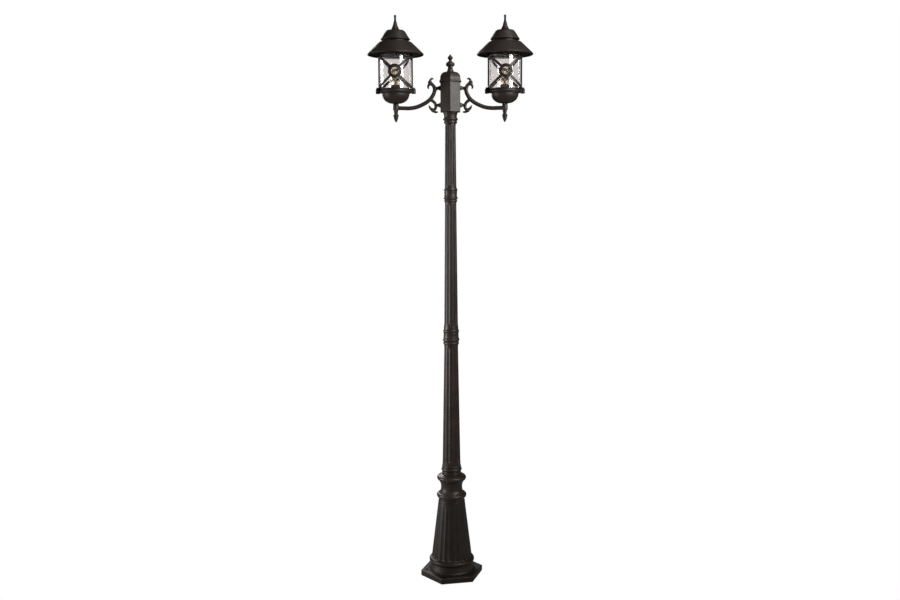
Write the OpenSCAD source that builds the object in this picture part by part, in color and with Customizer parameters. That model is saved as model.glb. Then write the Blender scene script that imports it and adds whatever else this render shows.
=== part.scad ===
// Twin-lantern street lamp post: fluted sectional column, hexagonal head box, two scrolled arms,
// and on each arm a round lantern with a clear glass cylinder and a conical roof.
// Origin on the ground at the column's axis, +Z up, arms along X, front towards -Y.

/* [Base casting] */
// Width of the hexagonal floor plate across its corners
plate_across = 270; // [240:1:300]
// Height of the floor plate
plate_h = 25; // [18:1:35]
// Turn of the floor plate about the column's axis, in degrees
plate_turn = 11.1; // [0:0.1:30]
// Distance from a corner of the plate to the anchor hole in it
anchor_inset = 26; // [20:1:30]
// Anchor hole diameter
anchor_d = 12; // [8:1:14]
// Height of the apron between the plate and the bell
apron_h = 31; // [24:1:40]
// Height of the fluted bell
bell_h = 274; // [200:1:340]
// Ledge of the floor plate outside the apron, at the middle of its sides
plate_ledge = 18.9; // [12:0.1:26]
// How far the bell's foot stands out
bell_flare = 12.5; // [8:0.5:16]
// Bell radius at its top
bell_top_r = 56.9; // [54:0.1:58]
// Wall of the base castings
base_wall = 7; // [5:0.5:9]

/* [Column] */
// Height of the casting with two rolls
urn_h = 112; // [90:1:140]
// Height of the ring under the lower pole
foot_ring_h = 48; // [36:1:60]
// Length of the lower pole
lower_pole_h = 510; // [400:1:620]
// Length of the middle pole
middle_pole_h = 516; // [400:1:620]
// Length of the upper pole
upper_pole_h = 259; // [200:1:320]
// Height of the lower coupling
lower_coupling_h = 80; // [64:1:100]
// Height of the upper coupling
upper_coupling_h = 60; // [48:1:80]
// Radius of the lower pole at its foot
lower_r0 = 38.5; // [36:0.1:40]
// Radius of the lower pole at its top
lower_r1 = 29.3; // [28:0.1:32]
// Radius of the middle pole at its foot
middle_r0 = 29.2; // [27:0.1:32]
// Radius of the middle pole at its top
middle_r1 = 23.9; // [23:0.1:26]
// Radius of the upper pole at its foot
upper_r0 = 24.3; // [23:0.1:26]
// Radius of the upper pole at its top
upper_r1 = 21.9; // [21:0.1:23]
// Wall of the poles
pole_wall = 6; // [4:0.5:7]
// Depth of the pole flutes
flute_depth = 1.6; // [0.5:0.1:2]
// Number of pole flutes
pole_flutes = 16; // [12:1:20]
// Number of bell flutes
bell_flutes = 24; // [18:1:28]
// Length of spigot inside each joined piece
spigot_grip = 34; // [20:1:40]
// Wall of the spigots
spigot_wall = 3.5; // [2:0.5:4]

/* [Head] */
// Height of the ringed collar under the head box
neck_h = 47; // [36:1:60]
// Width of the hexagonal head box across its flats
box_af = 81; // [76:0.5:90]
// Height of the head box
box_h = 118; // [110:1:140]
// Wall of the head box
box_wall = 4; // [3:0.5:5]
// Height of the lid above the head box
cap_h = 43; // [38:1:52]
// How far the lid overhangs the head box
cap_overhang = 4; // [2:0.5:6]
// Height of the turned finial on the lid
finial_h = 71; // [60:1:90]

/* [Arms] */
// Distance from the column's axis to each lantern's axis
reach = 222.4; // [200:0.5:260]
// Thickness of the arm's bar in the plane of the scroll
bar_t = 15; // [11:0.5:17]
// Depth of the arm's bar, front to back
bar_w = 15; // [12:0.5:18]
// Height of the lantern boss above the floor of the head box
boss_z = 7; // [3:0.5:10]
// Radius of the lantern boss
boss_r = 12; // [11:0.5:14]
// Height of the lantern boss
boss_h = 26; // [20:0.5:30]

/* [Lantern] */
// Outer radius of the glass cylinder
glass_r = 62.5; // [56:0.5:64]
// Wall of the glass cylinder
glass_wall = 3; // [2:0.5:4]
// Height of the glass cylinder
glass_h = 141; // [130:1:160]
// How far the cage's bars stand out from the glass
cage_out = 8.5; // [7.5:0.5:10]
// Thickness of the cage castings
cage_t = 6; // [5:0.5:6.5]
// Width of the guards' arms
guard_arm_w = 8; // [6:0.5:10]
// Outer radius of the guards' ring
guard_ring_r = 28; // [24:0.5:32]
// Opening radius of the guards' ring
guard_hole_r = 15.5; // [12:0.5:18]
// Height of the bowl under the gallery
bowl_h = 41; // [38:0.5:48]
// How far the bowl's rim lies inside the glass
bowl_inset = 6.5; // [5.5:0.5:8]
// Height of the gallery ring
gallery_h = 19; // [16:0.5:24]
// How far the gallery ring stands out from the glass
gallery_out = 3.5; // [2.5:0.5:5]
// How far each gallery lug reaches out from the glass
lug_out = 19.5; // [16:0.5:24]

/* [Roofs] */
// Radius of the large roof's rim
roof_r = 115; // [105:0.5:118]
// Radius of the large roof's shoulder
roof_top_r = 66.5; // [60:0.5:70]
// Wall of the roofs
roof_wall = 3; // [2.5:0.5:4]
// Radius of the neck between the roofs
vent_r = 45.5; // [42:0.5:48]
// Radius of the small roof's rim
small_roof_r = 60; // [56:0.5:64]
// Height of the small roof
small_roof_h = 39; // [36:0.5:46]
// Height of the lantern's top finial
top_finial_h = 61; // [52:0.5:70]
// Lift that takes a roof clear of its stud
roof_lift = 150; // [120:1:180]

/* [Light] */
// Radius of the bulb's envelope
bulb_r = 27; // [22:0.5:30]
// Length of the bulb above its screw cap
bulb_h = 78; // [72:0.5:82]
// Radius of the lamp holder
holder_r = 19.5; // [18:0.5:22]
// Height of the lamp holder
holder_h = 36; // [32:0.5:40]

/* [Hidden] */
$fn = 64;
fit = 0.05;          // radial clearance of a threaded or sliding fit
seat = 0.3;          // gap between curved faces of neighbouring pieces
screw_cap_r = 13.2;  // screw cap of the bulb
nipple_r = 5;        // threaded tube of each lantern
nipple_bore_r = 3.4;
stud_r = 3;
lead_w = 3.2;        // twin lead, square in section
lead_way = 6;        // width of the cored way for the lead
seal_t = 2;
glass_sink = 9;      // from the foot of the gallery to the foot of the glass
bar_width = 9;       // width of the side bars and of the bridge
bridge_t = 6;
lip_r = 3;           // radius of the large roof's rolled rim
roof_ledge = 4;      // rise of the ledge on the large roof's shoulder
vent_h = 6;          // neck between the two roofs
cap_depth = 25;      // length of the screw cap inside the lamp holder
block_size = [30, 18, 16];
lead_step = 8;       // drop of the lead behind its hole in the head box

bronze = [0.235, 0.205, 0.2];
dark = [0.16, 0.14, 0.135];

// Base casting
corner_r = plate_across / 2;
anchor_circle_r = corner_r - anchor_inset;
apron_r = corner_r * cos(30) - plate_ledge;
bell_foot_r = apron_r - 1.5;
bell_low_r = bell_foot_r - bell_flare;

// Heights of the column, added up from the ground
z_bell = plate_h + apron_h;
z_urn = z_bell + bell_h;
z_foot_ring = z_urn + urn_h;
z_lower_pole = z_foot_ring + foot_ring_h;
z_lower_coupling = z_lower_pole + lower_pole_h;
z_middle_pole = z_lower_coupling + lower_coupling_h;
z_upper_coupling = z_middle_pole + middle_pole_h;
z_upper_pole = z_upper_coupling + upper_coupling_h;
z_neck = z_upper_pole + upper_pole_h;
z_box = z_neck + neck_h;
z_cap = z_box + box_h;
z_finial = z_cap + cap_h;

// Heights of a lantern, added up from its boss
z_boss = z_box + boss_z;
z_bowl = z_boss + boss_h;
z_gallery = z_bowl + bowl_h;
z_glass = z_gallery + glass_sink;
z_glass_top = z_glass + glass_h;
z_bars = z_gallery + gallery_h;
z_bridge = z_glass_top + 4;
z_rim = z_glass_top + 3.5;
z_shoulder = z_rim + lip_r - 1 + roof_r - roof_top_r;
z_vent = z_shoulder + roof_ledge;
z_small_roof = z_vent + vent_h;
z_top_finial = z_small_roof + small_roof_h;
z_holder = z_gallery - 1;
z_holder_top = z_holder + holder_h;
z_cap_foot = z_holder_top - cap_depth;
z_bulb = z_holder_top + 2;

lower_bore = lower_r1 - pole_wall - flute_depth;
middle_bore = middle_r1 - pole_wall;
upper_bore = upper_r1 - pole_wall + 1;
box_face = box_af / 2;
box_in = box_face - box_wall;
cap_r = box_face + cap_overhang;

// Fittings in the head box stand in its front and back corners
block_y = (2 * box_in - block_size[0] / 2) / sqrt(3) - block_size[1] / 2 - 1.5;
earth_y = 2 * box_in / sqrt(3) - 18;
lead_y = block_y - 5;

// Heights of the arm's stubs above the head box floor
low_stub_h = 27;
high_stub_h = box_h - 22;
arm_low_z = z_box + low_stub_h;
arm_high_z = z_box + high_stub_h + 6;
lead_z = z_box + high_stub_h - 3;
lead_end_h = boss_z + 10.5;

// Lantern radii, all measured from the glass
cage_r = glass_r + cage_out;
gallery_r = glass_r + gallery_out;
lug_r = glass_r + lug_out;
bowl_r = glass_r - bowl_inset;
screw_r = cage_r + 4;

function arc(c, r, a0, a1, n) =
    [for (i = [0:n]) c + r * [cos(a0 + (a1 - a0) * i / n), sin(a0 + (a1 - a0) * i / n)]];

// Rounded bead: half a circle that bulges outwards from radius r, between two heights
function bead(r, z0, z1, out, n = 6) =
    [for (i = [0:n]) [r + out * sin(180 * i / n), z0 + (z1 - z0) * (1 - cos(180 * i / n)) / 2]];

// Ring turned from an outer outline of [radius, height] points and a straight bore
module turned(outline, bore) {
    low = outline[0][1];
    high = outline[len(outline) - 1][1];
    rotate_extrude() polygon(concat([[bore, low]], outline, [[bore, high]]));
}

// Solid turned piece whose outline starts and ends on the axis
module turned_solid(outline) {
    low = outline[0][1];
    high = outline[len(outline) - 1][1];
    rotate_extrude() polygon(concat([[0, low]], outline, [[0, high]]));
}

module hexagon(across_flats) {
    circle(r = across_flats / sqrt(3), $fn = 6);
}

// Outline of a fluted shaft: each flute is a shallow hollow of the given depth
module fluted_outline(r, depth, count) {
    points = 6;
    polygon([for (i = [0:count - 1], k = [0:points - 1])
        let (a = (i + k / points) * 360 / count)
        (r - depth * (k == 0 ? 0 : sin(180 * k / points))) * [cos(a), sin(a)]]);
}

// Fluted taper tube with plain ends, which stand a little proud of the ridges
module fluted_pole(z, h, r0, r1, bore) {
    plain = 9;
    proud = 0.4;
    translate([0, 0, z]) difference() {
        union() {
            cylinder(h = plain, r = r0);
            translate([0, 0, plain - 1])
                linear_extrude(height = h - 2 * plain + 2, scale = (r1 - proud) / (r0 - proud))
                    fluted_outline(r0 - proud, flute_depth, pole_flutes);
            translate([0, 0, h - plain]) cylinder(h = plain, r = r1);
        }
        translate([0, 0, -1]) cylinder(h = h + 2, r = bore);
    }
}

// ---------------------------------------------------------------- base and column

module anchor_places() {
    for (i = [0:2])
        rotate(plate_turn - 60 + i * 120) translate([anchor_circle_r, 0, 0]) children();
}

module pedestal() {
    skirt = base_wall;
    deck = 9;
    boss = anchor_d / 2 + 7;
    straight = 20;
    color(dark) difference() {
        union() {
            difference() {
                rotate(plate_turn) cylinder(h = plate_h, r = corner_r, $fn = 6);
                translate([0, 0, -1]) rotate(plate_turn)
                    cylinder(h = plate_h - deck + 1, r = corner_r - skirt, $fn = 6);
            }
            intersection() {
                anchor_places() cylinder(h = plate_h - 1, r = boss);
                rotate(plate_turn) cylinder(h = plate_h, r = corner_r - 1, $fn = 6);
            }
            apron();
            bell();
        }
        // hollow underneath
        translate([0, 0, -1]) cylinder(h = z_bell + straight + 1, r = bell_low_r - base_wall);
        translate([0, 0, z_bell + straight - 0.01]) cylinder(h = bell_h - 2 * straight + 0.01,
            r1 = bell_low_r - base_wall, r2 = bell_top_r - base_wall - 3);
        cylinder(h = z_urn + 1, r = lower_bore);
        anchor_places() translate([0, 0, -1]) cylinder(h = z_bell + 1, r = anchor_d / 2);
    }
}

// Apron between plate and bell: a low ring and a hollow slope up to the bell's foot
module apron() {
    h = apron_h;
    r = apron_r;
    translate([0, 0, plate_h]) rotate_extrude() polygon([
        [0, -1], [r, -1], [r, h * 0.2], [r - 2.5, h * 0.26], [r - 5, h * 0.62],
        [r - 6.7, h * 0.93], [r - 7, h], [0, h]]);
}

// Bell with a round foot and flutes above it
module bell() {
    flare_h = 38;
    proud = 0.6;
    out = 5;
    translate([0, 0, z_bell - 0.5]) {
        rotate_extrude() polygon(concat(
            [[0, 0]],
            bead(bell_foot_r - out, 0, 25, out),
            [[bell_low_r + 5, 26], [bell_low_r + 1.5, 32], [bell_low_r, flare_h + 2], [0, flare_h + 2]]));
        translate([0, 0, flare_h])
            linear_extrude(height = bell_h - flare_h - 7,
                scale = (bell_top_r - proud) / (bell_low_r - proud))
                fluted_outline(bell_low_r - proud, 2.4, bell_flutes);
        translate([0, 0, bell_h - 7.5]) cylinder(h = 8, r = bell_top_r);
    }
}

module pedestal_urn() {
    h = urn_h;
    waist = bell_top_r - 11.4;
    color(bronze) translate([0, 0, z_urn]) difference() {
        turned(concat(
            [[bell_top_r - 2, 0], [bell_top_r - 3, h * 0.07]],
            bead(bell_top_r - 3, h * 0.08, h * 0.31, 7),
            [[bell_top_r - 6, h * 0.34], [waist, h * 0.44], [waist, h * 0.57]],
            [[bell_top_r - 7, h * 0.75]],
            bead(bell_top_r - 7, h * 0.76, h - 1, 10.6),
            [[lower_r0, h]]), lower_bore);
        translate([0, 0, 14]) cylinder(h = h - 30, r = waist - base_wall);
    }
}

module foot_ring() {
    r = lower_r0;
    h = foot_ring_h;
    color(bronze) translate([0, 0, z_foot_ring]) turned(concat(
        [[r, 0], [r, h * 0.12]],
        bead(r, h * 0.14, h * 0.31, 2),
        bead(r + 1, h * 0.33, h * 0.65, 5.5),
        bead(r, h * 0.67, h * 0.88, 3),
        [[r, h]]), lower_bore);
}

module lower_pole() {
    color(bronze) fluted_pole(z_lower_pole, lower_pole_h, lower_r0, lower_r1, lower_bore);
}

module middle_pole() {
    color(bronze) fluted_pole(z_middle_pole, middle_pole_h, middle_r0, middle_r1, middle_bore);
}

module upper_pole() {
    color(bronze) fluted_pole(z_upper_pole, upper_pole_h, upper_r0, upper_r1, upper_bore);
}

// Two beads and a waist, sized from the poles that it joins
module coupling(z, h, r0, r1, bore) {
    mid = (r0 + r1) / 2 + 3.2;
    color(bronze) translate([0, 0, z]) turned(concat(
        [[r0, 0], [r0 + 3.5, 4], [r0 + 4, h * 0.15]],
        bead(r0 + 2.5, h * 0.17, h * 0.37, 3.8),
        [[mid, h * 0.45], [mid, h * 0.62]],
        bead(mid, h * 0.65, h * 0.86, 2.4),
        [[r1 + 3, h * 0.88], [r1 + 2.5, h - 3], [r1, h]]), bore);
}

module lower_coupling() {
    coupling(z_lower_coupling, lower_coupling_h, lower_r1, middle_r0, middle_bore);
}

module upper_coupling() {
    coupling(z_upper_coupling, upper_coupling_h, middle_r1, upper_r0, upper_bore);
}

module neck_collar() {
    r = upper_r1;
    color(bronze) translate([0, 0, z_neck]) turned(concat(
        [[r, 0], [r + 5.5, 3], [r + 5, 11]],
        bead(r + 5, 13, 23, 3.2),
        [[r + 4.6, 25], [r + 4.6, neck_h - 10], [r + 6, neck_h - 6], [r + 9, neck_h]]), upper_bore);
}

// Stepped tube that joins two bores end to end; its shoulder lies inside the wider one
module spigot(z, bore_below, bore_above, grip_below, grip_above) {
    low = bore_below - fit;
    high = bore_above - fit;
    inner = min(low, high) - spigot_wall;
    translate([0, 0, z]) difference() {
        union() {
            translate([0, 0, -grip_below]) cylinder(h = grip_below, r = low);
            cylinder(h = grip_above, r = high);
        }
        translate([0, 0, -grip_below - 1]) cylinder(h = grip_below + grip_above + 2, r = inner);
    }
}

module foot_spigot() {
    color("gray") spigot(z_lower_pole, lower_bore, lower_bore,
        foot_ring_h + urn_h + 20, spigot_grip);
}

module lower_spigot() {
    color("gray") spigot(z_lower_coupling, lower_bore, middle_bore, spigot_grip,
        lower_coupling_h + spigot_grip);
}

module upper_spigot() {
    color("gray") spigot(z_upper_coupling, middle_bore, upper_bore, spigot_grip,
        upper_coupling_h + spigot_grip);
}

module neck_spigot() {
    color("gray") spigot(z_neck, upper_bore, upper_bore, spigot_grip, neck_h + box_wall);
}

// ---------------------------------------------------------------- head

// Places of the two screws on each side of the head box, on the axis of each arm stub
module arm_screw_places(side) {
    for (z = [arm_low_z, arm_high_z])
        translate([side * box_in, 0, z]) rotate([0, side * 90, 0]) children();
}

module head_box() {
    color(bronze) difference() {
        translate([0, 0, z_box]) rotate(30) linear_extrude(height = box_h) hexagon(box_af);
        translate([0, 0, z_box + box_wall]) rotate(30)
            linear_extrude(height = box_h) hexagon(2 * box_in);
        translate([0, 0, z_box - 1]) cylinder(h = box_wall + 2, r = upper_bore);
        for (side = [-1, 1]) {
            arm_screw_places(side) translate([0, 0, -1]) cylinder(h = box_wall + 2, r = 2.6);
            translate([side * box_in, 0, lead_z]) cube([3 * box_wall, lead_way, lead_way], center = true);
        }
    }
}

module cap_seal() {
    color("black") translate([0, 0, z_cap]) rotate(30) linear_extrude(height = seal_t) difference() {
        hexagon(box_af - 1);
        hexagon(2 * box_in + 1);
    }
}

// Six-sided plate, from which the lid's solids are hulled
module cap_slice(half, z) {
    translate([0, 0, z]) rotate(30) linear_extrude(height = 0.1) hexagon(2 * half);
}

// Lid: a low rim, a slope, and a dome that follows a quarter of an ellipse
module cap_shell(inset, foot) {
    band = 5;
    shoulder = 16;
    slices = 8;
    r = cap_r - inset;
    rise = cap_h - inset - shoulder - 0.1;
    hull() {
        cap_slice(r, foot);
        cap_slice(r, band);
        cap_slice(r - 4, shoulder);
    }
    hull() {
        cap_slice(r - 4, band);
        for (i = [0:slices])
            cap_slice(12 + (r - 16) * cos(90 * i / slices), shoulder + rise * sin(90 * i / slices));
    }
}

module head_cap() {
    color(bronze) translate([0, 0, z_cap]) difference() {
        cap_shell(0, 2);
        cap_shell(roof_wall + 1, 1);
        translate([0, 0, 1]) cylinder(h = cap_h, r = stud_r + fit);
    }
}

module cap_stud() {
    bar = 8;
    color("silver") {
        translate([0, 0, z_cap - 6]) cylinder(h = cap_h + 36, r = stud_r);
        difference() {
            translate([0, 0, z_cap - 9]) rotate(30) linear_extrude(height = 5) intersection() {
                hexagon(2 * box_in - 0.2);
                square([3 * box_in, 2 * bar], center = true);
            }
            translate([0, 0, z_cap - 6]) cylinder(h = 10, r = stud_r - 0.01);
        }
    }
}

module centre_finial() {
    h = finial_h;
    color(bronze) translate([0, 0, z_finial]) difference() {
        turned_solid(concat(
            [[13, 0], [13.5, h * 0.03], [13.5, h * 0.09]],
            [[11, h * 0.13], [10.2, h * 0.2], [12, h * 0.29]],
            bead(12, h * 0.3, h * 0.54, 5.5),
            [[7.5, h * 0.57], [5.8, h * 0.61], [7, h * 0.65]],
            bead(6.5, h * 0.67, h * 0.9, 3.3),
            [[2.5, h - 1.5], [1, h]]));
        translate([0, 0, -1]) cylinder(h = 34, r = stud_r + fit);
    }
}

module terminal_block() {
    color("ivory") translate([0, block_y, z_box + box_wall + block_size[2] / 2]) difference() {
        cube(block_size, center = true);
        for (x = [-10, 0, 10]) translate([x, 0, 2]) cylinder(h = block_size[2], r = 2.4);
    }
}

module earth_screw() {
    color("gold") translate([0, -earth_y, z_box + box_wall]) {
        cylinder(h = 8, r = 2);
        translate([0, 0, 4]) cylinder(h = 3, r = 4.5, $fn = 6);
    }
}

// ---------------------------------------------------------------- arms

// Smooth path through control points, closed at neither end
function spline(p, n = 5) = concat(
    [for (i = [0:len(p) - 2], k = [0:n - 1])
        let (a = p[max(i - 1, 0)], b = p[i], c = p[i + 1], d = p[min(i + 2, len(p) - 1)], t = k / n)
        0.5 * ((2 * b) + (c - a) * t + (2 * a - 5 * b + 4 * c - d) * t * t
            + (3 * b - a - 3 * c + d) * t * t * t)],
    [p[len(p) - 1]]);

function unit(v) = v / norm(v);
function normal_at(p, i) =
    let (d = unit(p[min(i + 1, len(p) - 1)] - p[max(i - 1, 0)])) [-d[1], d[0]];

// Band along a path, with its width growing or shrinking from end to end
module band(p, w0, w1) {
    last = len(p) - 1;
    half = [for (i = [0:last]) (w0 + (w1 - w0) * i / last) / 2];
    polygon(concat(
        [for (i = [0:last]) p[i] + half[i] * normal_at(p, i)],
        [for (i = [last:-1:0]) p[i] - half[i] * normal_at(p, i)]));
}

// Height on the arm, whose scrolls keep to its two stubs when the head box grows or shrinks
function up(h) =
    let (share = (h - low_stub_h) / (drawn_stub_h - low_stub_h))
    share <= 0 ? h
    : share <= 1 ? low_stub_h + share * (high_stub_h - low_stub_h)
    : h - drawn_stub_h + high_stub_h;
// Point of the arm, as drawn: distance from the head box's face and height above its floor
function on_arm(p) = [box_face + p[0], up(p[1])];
// Point of the long lower sweep, which ends at the lantern's boss
function on_sweep(share, h) = [box_face + sweep_start + share * sweep, h];

drawn_stub_h = 96;
sweep_start = 57.5;
sweep = reach - boss_r + 3 - box_face - sweep_start;
top_stub = [for (p = [[0, 96], [14, 95], [24, 92]]) on_arm(p)];
main_path = concat(
    [for (p = [[24, 92], [23, 80], [31, 66], [42, 51], [sweep_start, 38]]) on_arm(p)],
    [on_sweep(0.18, low_stub_h - 0.5), on_sweep(0.44, 17.5)],
    [on_sweep(0.67, 16), on_sweep(1, lead_end_h - 0.5)]);
curl_path = [for (p = [[24, 92], [26, 102], [35, 110], [45, 108], [49, 98]]) on_arm(p)];
low_stub = [for (p = [[0, 27], [11, 27.5], [23, 31], [40, 47]]) on_arm(p)];
low_curl = [for (p = [[30, 36], [41, 26], [44, 16], [34, 9], [22, 8]]) on_arm(p)];
top_leaf = [for (p = [[24, 104], [27, 118], [31, 131]]) on_arm(p)];
top_leaf_b = [for (p = [[33, 112], [44, 122], [51, 118]]) on_arm(p)];
low_leaf = [for (p = [[40, 24], [48, 26], [54, 20]]) on_arm(p)];

module scroll(side) {
    mirror([side < 0 ? 1 : 0, 0, 0]) translate([0, 0, z_box]) rotate([90, 0, 0]) children();
}

module arm(side) {
    color(bronze) difference() {
        union() {
            scroll(side) {
                linear_extrude(height = bar_w, center = true) {
                    intersection() {
                        union() {
                            band(spline(top_stub), bar_t + 4, bar_t);
                            band(spline(low_stub), bar_t + 2, bar_t - 3);
                        }
                        translate([box_face + 0.02, 0]) square([reach, 2 * box_h]);
                    }
                    band(spline(main_path), bar_t, bar_t);
                    translate(main_path[0]) circle(r = bar_t / 2);
                }
                linear_extrude(height = bar_w - 3, center = true) {
                    band(spline(curl_path), bar_t, 7);
                    band(spline(low_curl), bar_t - 1, 6);
                    translate(curl_path[4]) circle(r = 6);
                    translate(low_curl[4]) circle(r = 5.5);
                }
                linear_extrude(height = bar_w - 7, center = true) {
                    band(spline(top_leaf), 14, 3);
                    band(spline(top_leaf_b), 12, 4);
                    band(spline(low_leaf), 12, 3);
                }
            }
            translate([side * reach, 0, z_boss]) cylinder(h = boss_h, r = boss_r);
        }
        translate([side * reach, 0, z_boss - 1]) cylinder(h = boss_h + 2, r = nipple_r + fit);
        scroll(side) linear_extrude(height = lead_way, center = true)
            band(lead_path(), lead_way, lead_way);
        arm_screw_places(side) cylinder(h = 16, r = 2.1);
    }
}

// Route of the lead from the terminal block to the lantern's boss
function lead_path() = spline(concat(
    [for (x = [-8, 8]) [box_face + x, lead_z - z_box]],
    [for (i = [1:7]) main_path[i]],
    [[reach, lead_end_h]]));

// Straight piece of lead that starts in the middle of its own width and foot
module lead_run(along) {
    translate([-lead_w / 2, -lead_w / 2, 0]) cube(along + [lead_w, lead_w, lead_w]);
}

module lead(side) {
    foot = z_box + box_wall + block_size[2] + seat;
    low = lead_z - lead_step;
    near_x = side * 10;
    far_x = side * (box_face - 9);
    color("white") {
        scroll(side) linear_extrude(height = lead_w, center = true)
            band(lead_path(), lead_w, lead_w);
        translate([side * reach, 0, z_box + lead_end_h + 1.1])
            lead_run([0, 0, z_holder - z_box - lead_end_h - 1.4 - lead_w]);
        translate([far_x, 0, low]) lead_run([0, 0, lead_step - lead_w / 2]);
        translate([far_x, 0, low]) lead_run([0, lead_y, 0]);
        translate([min(near_x, far_x), lead_y, low]) lead_run([abs(near_x - far_x), 0, 0]);
        translate([near_x, lead_y, foot]) lead_run([0, 0, low - foot]);
    }
}

module arm_screws() {
    color("silver") for (side = [-1, 1]) arm_screw_places(side) {
        cylinder(h = box_wall + 10, r = 2);
        translate([0, 0, -3]) cylinder(h = 3, r = 4.2);
    }
}

// ---------------------------------------------------------------- lanterns

module at(side) {
    translate([side * reach, 0, 0]) children();
}

module nipple(side) {
    color("silver") at(side) difference() {
        translate([0, 0, z_boss - 30]) cylinder(h = z_holder - z_boss + 30, r = nipple_r);
        translate([0, 0, z_boss - 31]) cylinder(h = z_holder - z_boss + 32, r = nipple_bore_r);
        translate([-side * 5, 0, z_box + lead_end_h]) cube([12, lead_way, lead_way], center = true);
    }
}

module bud_finial(side) {
    h = 48;
    color(bronze) at(side) translate([0, 0, z_boss]) difference() {
        mirror([0, 0, 1]) turned_solid(concat([[8.8, 0], [8.8, 3], [7.8, 7], [8.2, 11]],
            bead(8.2, 12, 26, 3.2), [[8.5, 30], [7, 38], [3.5, h - 2], [1, h]]));
        translate([0, 0, -33]) cylinder(h = 34, r = nipple_r + fit);
    }
}

module bowl(side) {
    foot = 14;
    floor_t = 5.5;
    steps = 8;
    outer = [for (i = [0:steps]) [foot + (bowl_r - foot) * sin(90 * i / steps),
        2 + (bowl_h - 2) * (1 - cos(90 * i / steps))]];
    inner = [for (i = [steps:-1:0]) [foot - 1 + (bowl_r - foot - 3) * sin(90 * i / steps),
        floor_t + (bowl_h - floor_t) * (1 - cos(90 * i / steps))]];
    color(bronze) at(side) translate([0, 0, z_bowl]) rotate_extrude() polygon(concat(
        [[nipple_r + fit, 0], [foot - 2, 0]], outer, inner, [[nipple_r + fit, floor_t]]));
}

module gallery(side) {
    h = gallery_h;
    inner = bowl_r - 6;
    groove = glass_sink - seal_t;
    color(bronze) at(side) translate([0, 0, z_gallery]) difference() {
        union() {
            rotate_extrude() polygon(concat(
                [[inner, 0], [gallery_r - 5, 0]],
                bead(gallery_r - 5, 0.5, h - 0.5, 5),
                [[gallery_r - 5, h], [inner, h]]));
            for (x = [-1, 1]) gallery_lug(x, h);
        }
        translate([0, 0, groove]) cylinder(h = h, r = glass_r + seat);
        translate([0, 0, -1]) cylinder(h = h, r = inner);
        for (x = [-1, 1]) translate([x * screw_r, 0, -1]) cylinder(h = h + 2, r = 2.1);
    }
}

module gallery_lug(x, h) {
    lug_w = 18;
    intersection() {
        translate([x > 0 ? gallery_r - 6 : -lug_r, -lug_w / 2, 0])
            cube([lug_r - gallery_r + 6, lug_w, h]);
        cylinder(h = h, r = lug_r);
    }
}

module glass_seal(side) {
    color("black") at(side) translate([0, 0, z_glass - seal_t]) difference() {
        cylinder(h = seal_t, r = glass_r);
        translate([0, 0, -1]) cylinder(h = seal_t + 2, r = glass_r - glass_wall - 1);
    }
}

module glass(side) {
    color([0.9, 0.95, 0.95, 0.35]) at(side) translate([0, 0, z_glass]) difference() {
        cylinder(h = glass_h, r = glass_r);
        translate([0, 0, -1]) cylinder(h = glass_h + 2, r = glass_r - glass_wall);
    }
}

// The bars stand on the gallery's lugs and carry the bridge
module side_bars(side) {
    foot_h = 4;
    h = z_bridge - z_bars;
    color(bronze) at(side) for (x = [-1, 1]) translate([0, 0, z_bars]) difference() {
        union() {
            intersection() {
                translate([x > 0 ? glass_r - 1 : -cage_r, -bar_width / 2, 0])
                    cube([cage_r - glass_r + 1, bar_width, h]);
                difference() {
                    cylinder(h = h, r = cage_r);
                    translate([0, 0, -1]) cylinder(h = h + 2, r = glass_r + 2 * seat);
                }
            }
            intersection() {
                translate([x > 0 ? cage_r - 4 : -lug_r + 1, -bar_width / 2, 0])
                    cube([lug_r - cage_r + 3, bar_width, foot_h]);
                cylinder(h = foot_h, r = lug_r);
            }
        }
        translate([x * screw_r, 0, -1]) cylinder(h = foot_h + 2, r = 2.1);
    }
}

module cage_screw_pair(side) {
    color("silver") at(side) for (x = [-1, 1]) translate([x * screw_r, 0, z_gallery + 2]) {
        cylinder(h = gallery_h + 3, r = 2);
        translate([0, 0, gallery_h + 2]) cylinder(h = 2.4, r = 3.4);
    }
}

// Curved X grille with a ring in its middle: a flat pattern cut out of half a tube
module guard(side, front) {
    low = z_bars + 2;
    high = z_glass_top - 2;
    mid = (low + high) / 2;
    span_x = cage_r - 5;
    half_w = guard_arm_w / 2;
    outer_r = cage_r - 0.5;
    color(bronze) at(side) intersection() {
        difference() {
            translate([0, 0, low]) cylinder(h = high - low, r = outer_r);
            translate([0, 0, low - 1]) cylinder(h = high - low + 2, r = outer_r - cage_t);
            translate([-cage_r, -bar_width / 2 - 0.02, low - 1])
                cube([2 * cage_r, bar_width + 0.04, high - low + 2]);
        }
        rotate([90, 0, 0]) translate([0, 0, front ? 0 : -cage_r]) linear_extrude(height = cage_r)
            difference() {
                union() {
                    for (x = [-span_x, span_x]) polygon([
                        [-x - half_w, low - 4], [-x + half_w, low - 4],
                        [x + half_w, high + 4], [x - half_w, high + 4]]);
                    translate([0, mid]) circle(r = guard_ring_r);
                    for (m = [-1, 1], z = [low, high])
                        translate([m * (cage_r - 8), z]) circle(r = 7);
                }
                translate([0, mid]) circle(r = guard_hole_r);
            }
    }
}

module bridge(side) {
    color(bronze) at(side) difference() {
        intersection() {
            translate([-cage_r, -bar_width / 2, z_bridge]) cube([2 * cage_r, bar_width, bridge_t]);
            translate([0, 0, z_bridge]) cylinder(h = bridge_t, r = cage_r);
        }
        translate([0, 0, z_bridge - 1]) cylinder(h = bridge_t + 2, r = stud_r + fit);
    }
}

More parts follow.
